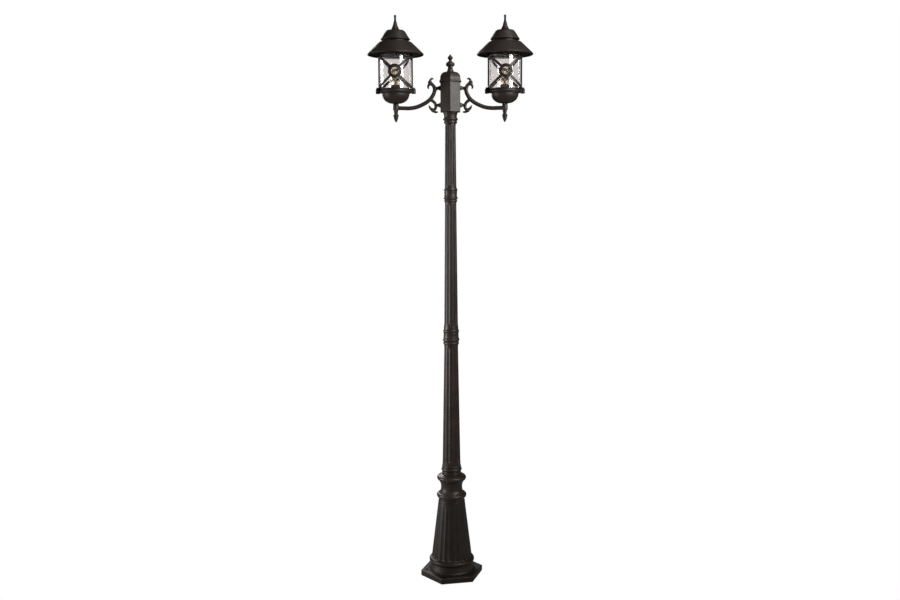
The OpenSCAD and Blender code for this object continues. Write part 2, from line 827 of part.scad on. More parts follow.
module roof_stud(side) {
    nut_h = 4;
    nut_r = 5.5;
    seat_h = 5;
    color("silver") at(side) {
        translate([0, 0, z_bridge - nut_h]) cylinder(h = z_top_finial + 26 - z_bridge, r = stud_r);
        for (z = [z_bridge - nut_h, z_bridge + bridge_t])
            translate([0, 0, z]) cylinder(h = nut_h, r = nut_r, $fn = 6);
        translate([0, 0, z_vent - roof_wall - seat_h]) cylinder(h = seat_h, r = 7, $fn = 6);
    }
}

module large_roof(side) {
    w = roof_wall;
    hole = stud_r + seat;
    color(bronze) at(side) rotate_extrude() polygon(concat(
        [[roof_r - 8, z_rim]],
        arc([roof_r - lip_r, z_rim + lip_r], lip_r, -90, 45, 5),
        [[roof_top_r + 1, z_shoulder], [roof_top_r - 1, z_shoulder + 1], [vent_r, z_vent],
            [vent_r, z_small_roof], [vent_r - w, z_small_roof], [vent_r - w, z_vent],
            [hole, z_vent], [hole, z_vent - w], [12, z_vent - w], [roof_top_r - 3, z_vent - w - 3.5],
            [roof_r - 4 - w, z_rim + w], [roof_r - 8, z_rim + w]]));
}

module small_roof(side) {
    w = roof_wall;
    h = small_roof_h;
    r = small_roof_r;
    hole = stud_r + seat;
    color(bronze) at(side) translate([0, 0, z_small_roof]) rotate_extrude() polygon(concat(
        [[vent_r - w, 0], [r - 4, 0]],
        arc([r - 3, 3], 3, -90, 40, 4),
        [[r - 7, h * 0.36], [r - 12, h * 0.56], [r - 18, h * 0.77], [r - 21, h * 0.87],
            [r - 31, h - 1.5], [r - 32, h], [hole, h], [hole, h - w], [r - 31, h - w - 1],
            [r - 24, h * 0.82 - w], [r - 16, h * 0.51 - w], [vent_r - w, w]]));
}

module top_finial(side) {
    h = top_finial_h;
    color(bronze) at(side) translate([0, 0, z_top_finial]) difference() {
        turned_solid(concat([[11, 0], [11, 3]], bead(12.5, 3.5, 8, 2.5), [[13.5, 10], [10.5, 14],
            [8.5, 18], [7.3, 26], [5.5, 31], [4.2, 35], [3.5, h - 15]],
            arc([0, h - 5], 4.7, -40, 75, 6), [[0.6, h]]));
        translate([0, 0, -1]) cylinder(h = 26, r = stud_r + fit);
    }
}

// ---------------------------------------------------------------- light

module lamp_holder(side) {
    color([0.1, 0.1, 0.1]) at(side) difference() {
        translate([0, 0, z_holder]) turned_solid([[holder_r - 5, 0], [holder_r - 1, 5],
            [holder_r, 7], [holder_r, holder_h]]);
        translate([0, 0, z_cap_foot - 1]) cylinder(h = holder_h, r = screw_cap_r + fit);
        translate([0, 0, z_holder_top - 3]) cylinder(h = 5, r = screw_cap_r + 2);
    }
}

module bulb_cap(side) {
    color("silver") at(side) translate([0, 0, z_cap_foot]) turned_solid(
        [[4, 0], [4, 2], [9, 3], [screw_cap_r, 5], [screw_cap_r, z_bulb - z_cap_foot]]);
}

module bulb_glass(side) {
    neck = screw_cap_r - 0.3;
    w = 1.2;
    c = bulb_h - bulb_r;
    side_line = [[neck, 0], [neck + 1, c * 0.16], [neck + 5, c * 0.43], [bulb_r - 4, c * 0.65],
        [bulb_r - 1, c * 0.82]];
    color([1, 0.85, 0.5, 0.4]) at(side) translate([0, 0, z_bulb]) rotate_extrude() polygon(concat(
        side_line,
        arc([0, c], bulb_r, 0, 90, 10),
        arc([0, c], bulb_r - w, 90, 0, 10),
        [for (i = [len(side_line) - 1:-1:0]) side_line[i] - [w, 0]]));
}

module bulb_core(side) {
    color("goldenrod") at(side) translate([0, 0, z_bulb]) {
        cylinder(h = 26, r1 = 7, r2 = 3);
        for (i = [0:3]) rotate(i * 90 + 45) translate([6, 0, 18]) cylinder(h = 38, r = 0.6);
        for (i = [0, 1]) rotate(i * 90 + 45) translate([0, 0, 18]) rotate([0, 90, 0])
            cylinder(h = 12, r = 0.6, center = true);
    }
}

// ---------------------------------------------------------------- nodes

pedestal();
pedestal_urn();
foot_ring();
lower_pole();
lower_coupling();
middle_pole();
upper_coupling();
upper_pole();
neck_collar();
foot_spigot();
lower_spigot();
upper_spigot();
neck_spigot();
head_box();
cap_seal();
head_cap();
cap_stud();
centre_finial();
terminal_block();
earth_screw();
arm_screws();
for (side = [-1, 1]) lead(side);  // leads
for (side = [-1, 1]) nipple(side);  // nipples
for (side = [-1, 1]) glass_seal(side);  // glass_seals
for (side = [-1, 1]) cage_screw_pair(side);  // cage_screws
arm(-1);  // left_arm
bud_finial(-1);  // left_bud_finial
bowl(-1);  // left_bowl
gallery(-1);  // left_gallery
glass(-1);  // left_glass
side_bars(-1);  // left_side_bars
guard(-1, true);  // left_front_guard
guard(-1, false);  // left_back_guard
bridge(-1);  // left_bridge
roof_stud(-1);  // left_roof_stud
large_roof(-1);  // left_large_roof
small_roof(-1);  // left_small_roof
top_finial(-1);  // left_top_finial
lamp_holder(-1);  // left_lamp_holder
bulb_cap(-1);  // left_bulb_cap
bulb_glass(-1);  // left_bulb_glass
bulb_core(-1);  // left_bulb_core
arm(1);  // right_arm
bud_finial(1);  // right_bud_finial
bowl(1);  // right_bowl
gallery(1);  // right_gallery
glass(1);  // right_glass
side_bars(1);  // right_side_bars
guard(1, true);  // right_front_guard
guard(1, false);  // right_back_guard
bridge(1);  // right_bridge
roof_stud(1);  // right_roof_stud
large_roof(1);  // right_large_roof
small_roof(1);  // right_small_roof
top_finial(1);  // right_top_finial
lamp_holder(1);  // right_lamp_holder
bulb_cap(1);  // right_bulb_cap
bulb_glass(1);  // right_bulb_glass
bulb_core(1);  // right_bulb_core
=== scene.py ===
"""Looks of a twin-lantern lamp post: its castings, glass and fittings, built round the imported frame."""
import logging
import math
from collections.abc import Sequence
from dataclasses import dataclass, field
from enum import Enum

import bmesh
import bpy
from mathutils import Matrix, Vector


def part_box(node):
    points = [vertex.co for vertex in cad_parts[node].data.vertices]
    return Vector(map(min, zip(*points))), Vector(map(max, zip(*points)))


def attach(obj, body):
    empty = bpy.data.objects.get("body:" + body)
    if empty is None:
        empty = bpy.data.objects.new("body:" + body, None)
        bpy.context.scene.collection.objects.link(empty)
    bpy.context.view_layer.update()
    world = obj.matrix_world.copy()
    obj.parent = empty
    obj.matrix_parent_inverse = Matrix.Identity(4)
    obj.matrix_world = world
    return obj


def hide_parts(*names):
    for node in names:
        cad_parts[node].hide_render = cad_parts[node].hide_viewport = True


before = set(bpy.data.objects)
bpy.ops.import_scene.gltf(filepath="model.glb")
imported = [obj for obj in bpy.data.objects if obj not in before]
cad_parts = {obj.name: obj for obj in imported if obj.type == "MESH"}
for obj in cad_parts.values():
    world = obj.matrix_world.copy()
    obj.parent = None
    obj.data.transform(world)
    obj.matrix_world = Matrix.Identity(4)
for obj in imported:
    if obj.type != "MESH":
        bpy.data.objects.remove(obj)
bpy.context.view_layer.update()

log = logging.getLogger("lamp_post")

MM = 0.001
TURN = 2.0 * math.pi
Outline = list[tuple[float, float]]


# ---------------------------------------------------------------- frame helpers


@dataclass(frozen=True)
class Span:
    """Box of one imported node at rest, in millimetres."""

    x0: float
    x1: float
    y0: float
    y1: float
    z0: float
    z1: float

    @classmethod
    def of(cls, node: str) -> "Span":
        """Read a node's box from the frame.

        Args:
            node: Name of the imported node.

        Returns:
            The box in millimetres.
        """
        low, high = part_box(node)
        return cls(low.x / MM, high.x / MM, low.y / MM, high.y / MM, low.z / MM, high.z / MM)

    @property
    def x(self) -> float:
        """Middle of the box along X."""
        return (self.x0 + self.x1) / 2

    @property
    def radius(self) -> float:
        """Half of the box's width along X."""
        return (self.x1 - self.x0) / 2

    @property
    def height(self) -> float:
        """Height of the box."""
        return self.z1 - self.z0


class Side(Enum):
    """The two lanterns, by the sign of X."""

    LEFT = -1
    RIGHT = 1

    @property
    def word(self) -> str:
        """Prefix of the side's node names."""
        return self.name.lower()


# ---------------------------------------------------------------- outlines


def arc(centre: tuple[float, float], radius: float, start: float, end: float, steps: int = 8) -> Outline:
    """Points on an arc in the plane of radius and height.

    Args:
        centre: Centre of the arc, in millimetres.
        radius: Radius in millimetres.
        start: First angle in degrees, 0 pointing outwards and 90 up.
        end: Last angle in degrees.
        steps: Number of chords.

    Returns:
        The points, both ends included.
    """
    turns = [math.radians(start + (end - start) * i / steps) for i in range(steps + 1)]
    return [(centre[0] + radius * math.cos(a), centre[1] + radius * math.sin(a)) for a in turns]


def bead(radius: float, low: float, high: float, out: float, steps: int = 10) -> Outline:
    """Outline of a round bead that stands out from a radius between two heights."""
    turns = [math.pi * i / steps for i in range(steps + 1)]
    return [(radius + out * math.sin(a), low + (high - low) * (1 - math.cos(a)) / 2) for a in turns]


def soften(points: Outline, radius: float, steps: int = 3) -> Outline:
    """Round every inner corner of an open outline, as a cast and coated edge is.

    Args:
        points: Corners of the outline.
        radius: Rounding in millimetres, less where a side is short.
        steps: Chords in each rounding.

    Returns:
        The rounded outline.
    """
    made: Outline = [points[0]]
    for before, here, after in zip(points, points[1:], points[2:]):
        corner = Vector(here)
        back, ahead = Vector(before) - corner, Vector(after) - corner
        if back.length < 1e-6 or ahead.length < 1e-6:
            continue
        bend = math.pi - back.angle(ahead, 0.0)
        if bend < math.radians(12):
            made.append(here)
            continue
        reach = min(radius * math.tan(bend / 2), 0.42 * back.length, 0.42 * ahead.length)
        first, last = corner + back.normalized() * reach, corner + ahead.normalized() * reach
        for i in range(steps + 1):
            t = i / steps
            made.append(tuple(first * (1 - t) ** 2 + corner * 2 * t * (1 - t) + last * t**2))
    made.append(points[-1])
    return made


@dataclass(frozen=True)
class Flutes:
    """Round-ended hollows cut lengthwise into a turned shaft."""

    count: int
    depth: float
    share: float
    low: float
    high: float
    open_foot: bool = False

    def cut(self, radius: float, angle: float, height: float) -> float:
        """Depth of the hollow at a point of the shaft.

        Args:
            radius: Radius of the uncut shaft there, in millimetres.
            angle: Place round the axis, in radians.
            height: Height of the point, in millimetres.

        Returns:
            How far the surface goes in, in millimetres.
        """
        pitch = TURN / self.count
        half = radius * pitch * self.share / 2
        across = abs((angle / pitch + 0.5) % 1.0 - 0.5) * pitch * radius
        if self.open_foot and height >= self.low:
            from_end = self.high - height
        else:
            from_end = min(height - self.low, self.high - height)
        if from_end <= 0:
            return 0.0
        if from_end < half:
            half *= math.sqrt(1 - (1 - from_end / half) ** 2)
        if across >= half:
            return 0.0
        return self.depth * math.sqrt(1 - (across / half) ** 2) ** 1.3

    def rows(self, low: tuple[float, float], high: tuple[float, float], fine: float = 9.0) -> Outline:
        """Points of a straight taper, close together where the flutes end.

        Args:
            low: Radius and height at the foot of the taper.
            high: Radius and height at its top.
            fine: Length of the close rows at each end, in millimetres.

        Returns:
            The points from foot to top.
        """
        levels = [low[1], high[1]]
        for i in range(13):
            levels += [self.low + fine * i / 12, self.high - fine * i / 12]
        inner = sorted({round(z, 3) for z in levels if low[1] <= z <= high[1]})
        rise = high[1] - low[1]
        return [(low[0] + (high[0] - low[0]) * (z - low[1]) / rise, z) for z in inner]


# ---------------------------------------------------------------- mesh helpers


def turned(outline: Outline, centre: tuple[float, float] = (0.0, 0.0), segments: int = 96,
           flutes: Flutes | None = None, bore: float = 0.0) -> bmesh.types.BMesh:
    """Spin an outline of radius and height about a vertical axis.

    Args:
        outline: Points in millimetres. It is closed into a ring unless both ends lie on the axis.
        centre: Place of the axis in X and Y, in millimetres.
        segments: Steps of the spin.
        flutes: Hollows to cut into it, if any.
        bore: Radius up to which the surface is left uncut, such as the bore.

    Returns:
        The closed mesh, in metres.
    """
    bm = bmesh.new()
    verts = [bm.verts.new((r * MM, 0.0, z * MM)) for r, z in outline]
    edges = [bm.edges.new(pair) for pair in zip(verts, verts[1:])]
    if outline[0][0] > 0 or outline[-1][0] > 0:
        edges.append(bm.edges.new((verts[-1], verts[0])))
    bmesh.ops.spin(bm, geom=verts + edges, cent=(0, 0, 0), axis=(0, 0, 1), angle=TURN, steps=segments,
                   use_merge=True)
    bmesh.ops.remove_doubles(bm, verts=bm.verts, dist=2e-6)
    if flutes:
        for v in bm.verts:
            radius = math.hypot(v.co.x, v.co.y) / MM
            if radius <= bore + 0.5:
                continue
            scale = 1 - flutes.cut(radius, math.atan2(v.co.y, v.co.x), v.co.z / MM) / radius
            v.co.x, v.co.y = v.co.x * scale, v.co.y * scale
    bmesh.ops.recalc_face_normals(bm, faces=bm.faces)
    bmesh.ops.translate(bm, verts=bm.verts, vec=(centre[0] * MM, centre[1] * MM, 0))
    return bm


def prism(sides: int, radius: float, low: float, high: float, turn: float = 0.0,
          edge: float = 1.0) -> bmesh.types.BMesh:
    """Upright prism with bevelled edges.

    Args:
        sides: Number of sides.
        radius: Distance from the axis to a corner, in millimetres.
        low: Height of the underside.
        high: Height of the top.
        turn: Direction of the first corner, in degrees.
        edge: Bevel in millimetres.

    Returns:
        The mesh, in metres.
    """
    bm = bmesh.new()
    bmesh.ops.create_circle(bm, cap_ends=True, segments=sides, radius=radius * MM)
    bmesh.ops.rotate(bm, verts=bm.verts, matrix=Matrix.Rotation(math.radians(turn) + math.pi / 2, 3, "Z"))
    raised = bmesh.ops.extrude_face_region(bm, geom=bm.faces[:])["geom"]
    top = [v for v in raised if isinstance(v, bmesh.types.BMVert)]
    bmesh.ops.translate(bm, verts=bm.verts, vec=(0, 0, low * MM))
    bmesh.ops.translate(bm, verts=top, vec=(0, 0, (high - low) * MM))
    if edge:
        bmesh.ops.bevel(bm, geom=bm.edges[:], offset=edge * MM, segments=3, profile=0.5, affect="EDGES",
                        material=-1)
    bmesh.ops.recalc_face_normals(bm, faces=bm.faces)
    return bm


def block(size: Sequence[float], centre: Sequence[float], edge: float = 0.5) -> bmesh.types.BMesh:
    """Box with bevelled edges.

    Args:
        size: Width, depth and height in millimetres.
        centre: Centre in millimetres.
        edge: Bevel in millimetres.

    Returns:
        The mesh, in metres.
    """
    bm = bmesh.new()
    bmesh.ops.create_cube(bm, size=1.0)
    bmesh.ops.scale(bm, vec=[s * MM for s in size], verts=bm.verts)
    if edge:
        bmesh.ops.bevel(bm, geom=bm.edges[:], offset=edge * MM, segments=2, profile=0.5, affect="EDGES",
                        material=-1)
    bmesh.ops.translate(bm, verts=bm.verts, vec=[c * MM for c in centre])
    return bm


def joined(*parts: bmesh.types.BMesh) -> bmesh.types.BMesh:
    """Put several meshes into one; the parts are used up."""
    whole = bmesh.new()
    for part in parts:
        mesh = bpy.data.meshes.new("part")
        part.to_mesh(mesh)
        part.free()
        whole.from_mesh(mesh)
        bpy.data.meshes.remove(mesh)
    return whole


def evaluated(obj: bpy.types.Object) -> bmesh.types.BMesh:
    """Take an object's mesh with its modifiers applied, and remove the object."""
    bpy.context.view_layer.update()
    depsgraph = bpy.context.evaluated_depsgraph_get()
    bm = bmesh.new()
    mesh = bpy.data.meshes.new_from_object(obj.evaluated_get(depsgraph), depsgraph=depsgraph)
    bm.from_mesh(mesh)
    bpy.data.meshes.remove(mesh)
    bpy.data.objects.remove(obj)
    return bm


def scratch(bm: bmesh.types.BMesh) -> bpy.types.Object:
    """Make a temporary object from a mesh that is used up."""
    mesh = bpy.data.meshes.new("scratch")
    bm.to_mesh(mesh)
    bm.free()
    obj = bpy.data.objects.new("scratch", mesh)
    bpy.context.scene.collection.objects.link(obj)
    return obj


def drilled(bm: bmesh.types.BMesh, *cutters: bmesh.types.BMesh) -> bmesh.types.BMesh:
    """Cut closed shapes out of a mesh; all of them are used up."""
    body = scratch(bm)
    tools = [scratch(cutter) for cutter in cutters]
    for tool in tools:
        step = body.modifiers.new("cut", "BOOLEAN")
        step.operation, step.solver, step.object = "DIFFERENCE", "EXACT", tool
    made = evaluated(body)
    for tool in tools:
        bpy.data.objects.remove(tool)
    return made


def fused(bm: bmesh.types.BMesh, voxel: float, rounds: int) -> bmesh.types.BMesh:
    """Melt overlapping shapes into one skin with soft inner corners, as one casting has.

    Args:
        bm: The overlapping closed shapes.
        voxel: Grid of the skin, in millimetres.
        rounds: Passes of smoothing.

    Returns:
        The single skin.
    """
    body = scratch(bm)
    step = body.modifiers.new("melt", "REMESH")
    step.mode, step.voxel_size, step.adaptivity = "VOXEL", voxel * MM, 0.0
    soft = body.modifiers.new("soft", "SMOOTH")
    soft.factor, soft.iterations = 0.5, rounds
    return evaluated(body)


def swept(path: Sequence[tuple[float, float]], widths: Sequence[float],
          section: Sequence[tuple[float, float]], smooth: int = 8) -> bmesh.types.BMesh:
    """Sweep a section along a smooth path in the X-Z plane.

    Args:
        path: Points that the path runs through, in millimetres.
        widths: Scale of the section at each point.
        section: Closed outline, across the path and along Y, in millimetres at scale 1.
        smooth: Steps between two points.

    Returns:
        The closed mesh, in metres.
    """
    rim = bpy.data.curves.new("section", "CURVE")
    rim.dimensions = "2D"
    loop = rim.splines.new("POLY")
    loop.points.add(len(section) - 1)
    loop.use_cyclic_u = True
    for point, (a, b) in zip(loop.points, section):
        point.co = (a * MM, b * MM, 0, 1)
    rim_obj = bpy.data.objects.new("section", rim)
    bpy.context.scene.collection.objects.link(rim_obj)
    line = bpy.data.curves.new("path", "CURVE")
    line.dimensions, line.resolution_u = "2D", smooth
    line.bevel_mode, line.bevel_object, line.use_fill_caps = "OBJECT", rim_obj, True
    spline = line.splines.new("BEZIER")
    spline.bezier_points.add(len(path) - 1)
    for point, (x, z), width in zip(spline.bezier_points, path, widths):
        point.co, point.radius = (x * MM, z * MM, 0), width
        point.handle_left_type = point.handle_right_type = "AUTO"
    obj = bpy.data.objects.new("path", line)
    bpy.context.scene.collection.objects.link(obj)
    bm = evaluated(obj)
    bpy.data.objects.remove(rim_obj)
    bmesh.ops.rotate(bm, verts=bm.verts, matrix=Matrix.Rotation(math.pi / 2, 3, "X"))
    bmesh.ops.remove_doubles(bm, verts=bm.verts, dist=1e-6)
    bmesh.ops.recalc_face_normals(bm, faces=bm.faces)
    return bm


# ---------------------------------------------------------------- finishes


def linear(code: str) -> tuple[float, float, float, float]:
    """Turn an sRGB hex colour such as #3a302d to linear values with full alpha."""
    parts = [int(code[i:i + 2], 16) / 255 for i in (1, 3, 5)]
    return (*[c / 12.92 if c <= 0.04045 else ((c + 0.055) / 1.055) ** 2.4 for c in parts], 1.0)


def add(tree: bpy.types.NodeTree, kind: str, links: dict[str, object] | None = None,
        **settings: object) -> bpy.types.Node:
    """Add a node, set it and link its inputs.

    Args:
        tree: Node tree of a material.
        kind: Type of the node.
        links: Input name to an output socket or a value.
        settings: Properties of the node.

    Returns:
        The new node.
    """
    node = tree.nodes.new(kind)
    for key, value in settings.items():
        setattr(node, key, value)
    for name, source in (links or {}).items():
        socket = node.inputs[int(name)] if name.isdigit() else node.inputs[name]
        if isinstance(source, bpy.types.NodeSocket):
            tree.links.new(source, socket)
        else:
            socket.default_value = source
    return node


def blank(name: str) -> tuple[bpy.types.Material, bpy.types.NodeTree, bpy.types.Node]:
    """New material with one Principled shader joined to its output."""
    material = bpy.data.materials.new(name)
    material.use_nodes = True
    tree = material.node_tree
    return material, tree, tree.nodes["Principled BSDF"]


def per_metre(size_mm: float) -> float:
    """Scale of a noise pattern whose features are about this many millimetres."""
    return 1.0 / (size_mm * MM)


@dataclass(frozen=True)
class PowderCoat:
    """Polyester powder coat baked on a sand-cast aluminium piece.

    The coat is a satin plastic film: it softens every edge, shows a faint orange peel a few
    millimetres across, and lets the casting's low waves show in long reflections.
    """

    name: str
    shade: str
    glint: str
    roughness: float = 0.42
    peel_mm: float = 3.0
    wave_mm: float = 55.0

    def make(self) -> bpy.types.Material:
        """Build the material."""
        material, tree, shader = blank(self.name)
        place = add(tree, "ShaderNodeTexCoord").outputs["Object"]
        wave = add(tree, "ShaderNodeTexNoise", {"Vector": place, "Scale": per_metre(self.wave_mm),
                                                "Detail": 3.0, "Roughness": 0.6})
        grain = add(tree, "ShaderNodeTexNoise", {"Vector": place, "Scale": per_metre(self.peel_mm),
                                                 "Detail": 4.0, "Roughness": 0.7})
        blend = add(tree, "ShaderNodeMath", {"0": wave.outputs["Fac"], "1": grain.outputs["Fac"]},
                    operation="MULTIPLY")
        spread = add(tree, "ShaderNodeMapRange", {"Value": blend.outputs[0], "From Min": 0.14,
                                                  "From Max": 0.38})
        colour = add(tree, "ShaderNodeMix", {"Factor": spread.outputs[0], "A": linear(self.shade),
                                             "B": linear(self.glint)}, data_type="RGBA")
        rough = add(tree, "ShaderNodeMapRange", {"Value": grain.outputs["Fac"], "From Min": 0.3,
                                                 "From Max": 0.7, "To Min": self.roughness - 0.06,
                                                 "To Max": self.roughness + 0.08})
        relief = add(tree, "ShaderNodeMath", {"0": grain.outputs["Fac"], "1": 0.35}, operation="MULTIPLY")
        height = add(tree, "ShaderNodeMath", {"0": relief.outputs[0], "1": wave.outputs["Fac"]},
                     operation="ADD")
        bump = add(tree, "ShaderNodeBump", {"Height": height.outputs[0], "Strength": 0.35,
                                            "Distance": 0.0006})
        tree.links.new(colour.outputs["Result"], shader.inputs["Base Color"])
        tree.links.new(rough.outputs[0], shader.inputs["Roughness"])
        tree.links.new(bump.outputs["Normal"], shader.inputs["Normal"])
        shader.inputs["IOR"].default_value = 1.5
        return material


@dataclass(frozen=True)
class Glass:
    """Clear blown or drawn glass: smooth, with slow ripples that bend what is behind it."""

    name: str
    tint: str
    roughness: float = 0.0
    ripple_mm: float = 40.0
    ripple: float = 0.12

    def make(self) -> bpy.types.Material:
        """Build the material."""
        material, tree, shader = blank(self.name)
        place = add(tree, "ShaderNodeTexCoord").outputs["Object"]
        noise = add(tree, "ShaderNodeTexNoise", {"Vector": place, "Scale": per_metre(self.ripple_mm),
                                                 "Detail": 1.0})
        bump = add(tree, "ShaderNodeBump", {"Height": noise.outputs["Fac"], "Strength": self.ripple,
                                            "Distance": 0.0004})
        tree.links.new(bump.outputs["Normal"], shader.inputs["Normal"])
        shader.inputs["Base Color"].default_value = linear(self.tint)
        shader.inputs["Transmission Weight"].default_value = 1.0
        shader.inputs["Roughness"].default_value = self.roughness
        shader.inputs["IOR"].default_value = 1.47
        return material


@dataclass(frozen=True)
class Metal:
    """Bare or plated metal: coloured reflections, fine lengthwise scratches and slight tarnish."""

    name: str
    bright: str
    dull: str
    roughness: float = 0.3
    scratch_mm: float = 1.2

    def make(self) -> bpy.types.Material:
        """Build the material."""
        material, tree, shader = blank(self.name)
        place = add(tree, "ShaderNodeTexCoord").outputs["Object"]
        stretch = add(tree, "ShaderNodeMapping", {"Vector": place, "Scale": (1.0, 1.0, 0.08)})
        lines = add(tree, "ShaderNodeTexNoise", {"Vector": stretch.outputs[0], "Detail": 5.0,
                                                 "Scale": per_metre(self.scratch_mm)})
        cloud = add(tree, "ShaderNodeTexNoise", {"Vector": place, "Scale": per_metre(14.0), "Detail": 3.0})
        colour = add(tree, "ShaderNodeMix", {"Factor": cloud.outputs["Fac"], "A": linear(self.bright),
                                             "B": linear(self.dull)}, data_type="RGBA")
        rough = add(tree, "ShaderNodeMapRange", {"Value": lines.outputs["Fac"],
                                                 "To Min": self.roughness - 0.1,
                                                 "To Max": self.roughness + 0.15})
        tree.links.new(colour.outputs["Result"], shader.inputs["Base Color"])
        tree.links.new(rough.outputs[0], shader.inputs["Roughness"])
        shader.inputs["Metallic"].default_value = 1.0
        return material


@dataclass(frozen=True)
class Moulded:
    """Moulded plastic, phenolic or rubber: one colour with a fine die grain."""

    name: str
    shade: str
    worn: str
    roughness: float = 0.45
    grain_mm: float = 0.8

    def make(self) -> bpy.types.Material:
        """Build the material."""
        material, tree, shader = blank(self.name)
        place = add(tree, "ShaderNodeTexCoord").outputs["Object"]
        grain = add(tree, "ShaderNodeTexNoise", {"Vector": place, "Scale": per_metre(self.grain_mm),
                                                 "Detail": 3.0})
        cloud = add(tree, "ShaderNodeTexNoise", {"Vector": place, "Scale": per_metre(18.0), "Detail": 2.0})
        colour = add(tree, "ShaderNodeMix", {"Factor": cloud.outputs["Fac"], "A": linear(self.shade),
                                             "B": linear(self.worn)}, data_type="RGBA")
        bump = add(tree, "ShaderNodeBump", {"Height": grain.outputs["Fac"], "Strength": 0.2,
                                            "Distance": 0.0002})
        tree.links.new(colour.outputs["Result"], shader.inputs["Base Color"])
        tree.links.new(bump.outputs["Normal"], shader.inputs["Normal"])
        shader.inputs["Roughness"].default_value = self.roughness
        return material


class Finish(Enum):
    """Finishes of the post, each made once."""

    COLUMN = PowderCoat("bronze_powder_coat", "#2c231f", "#43362f")
    # The base uses the same powder coat as the column, painted darker as painted shade for the dimmer light
    # on the lower post.
    BASE = PowderCoat("bronze_powder_coat_painted_shade", "#201915", "#31271f", roughness=0.46)
    LANTERN = PowderCoat("bronze_powder_coat_lantern", "#251e1b", "#3b322d", roughness=0.5, peel_mm=2.2)
    CYLINDER = Glass("clear_glass_cylinder", "#e9e5e4", ripple=0.02)
    ENVELOPE = Glass("clear_bulb_glass", "#fff8ea", ripple=0.02)
    STEEL = Metal("zinc_plated_steel", "#b9bbbd", "#8c8f90")
    BRASS = Metal("nickel_brass", "#d8b877", "#a8894e", roughness=0.25)
    TUNGSTEN = Metal("tungsten_wire", "#9a9186", "#6d655c", roughness=0.4)
    PHENOLIC = Moulded("black_phenolic", "#141312", "#201e1c", roughness=0.35)
    NYLON = Moulded("ivory_nylon", "#d9d2bd", "#c9c1a9")
    SHEATH = Moulded("white_pvc_sheath", "#d8d7d2", "#c4c2bb", roughness=0.4)
    RUBBER = Moulded("epdm_rubber", "#0f0f10", "#1b1b1c", roughness=0.7)

    @property
    def material(self) -> bpy.types.Material:
        """The finish's material, made on its first use."""
        found = bpy.data.materials.get(self.value.name)
        return found or self.value.make()


# ---------------------------------------------------------------- pieces


def place_piece(name: str, bm: bmesh.types.BMesh, finish: Finish, body: str,
                replaces: Sequence[str] = (), crease: float = 32.0) -> bpy.types.Object:
    """Turn a finished mesh into a piece of the post.

    Args:
        name: Name of the piece.
        bm: Its mesh, which is used up.
        finish: Its finish.
        body: Body that it rides on.
        replaces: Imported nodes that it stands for.
        crease: Angle in degrees past which an edge stays sharp.

    Returns:
        The new object.
    """
    mesh = bpy.data.meshes.new(name)
    bm.to_mesh(mesh)
    bm.free()
    mesh.shade_smooth()
    mesh.set_sharp_from_angle(angle=math.radians(crease))
    mesh.materials.append(finish.material)
    obj = bpy.data.objects.new(name, mesh)
    bpy.context.scene.collection.objects.link(obj)
    shading = obj.modifiers.new("flat_faces", "WEIGHTED_NORMAL")
    shading.keep_sharp = True
    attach(obj, body)
    if replaces:
        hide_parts(*replaces)
    log.info("%s: %d faces", name, len(mesh.polygons))
    return obj


def dress(node: str, finish: Finish) -> None:
    """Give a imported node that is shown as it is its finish."""
    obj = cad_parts[node]
    obj.data.materials.clear()
    obj.data.materials.append(finish.material)


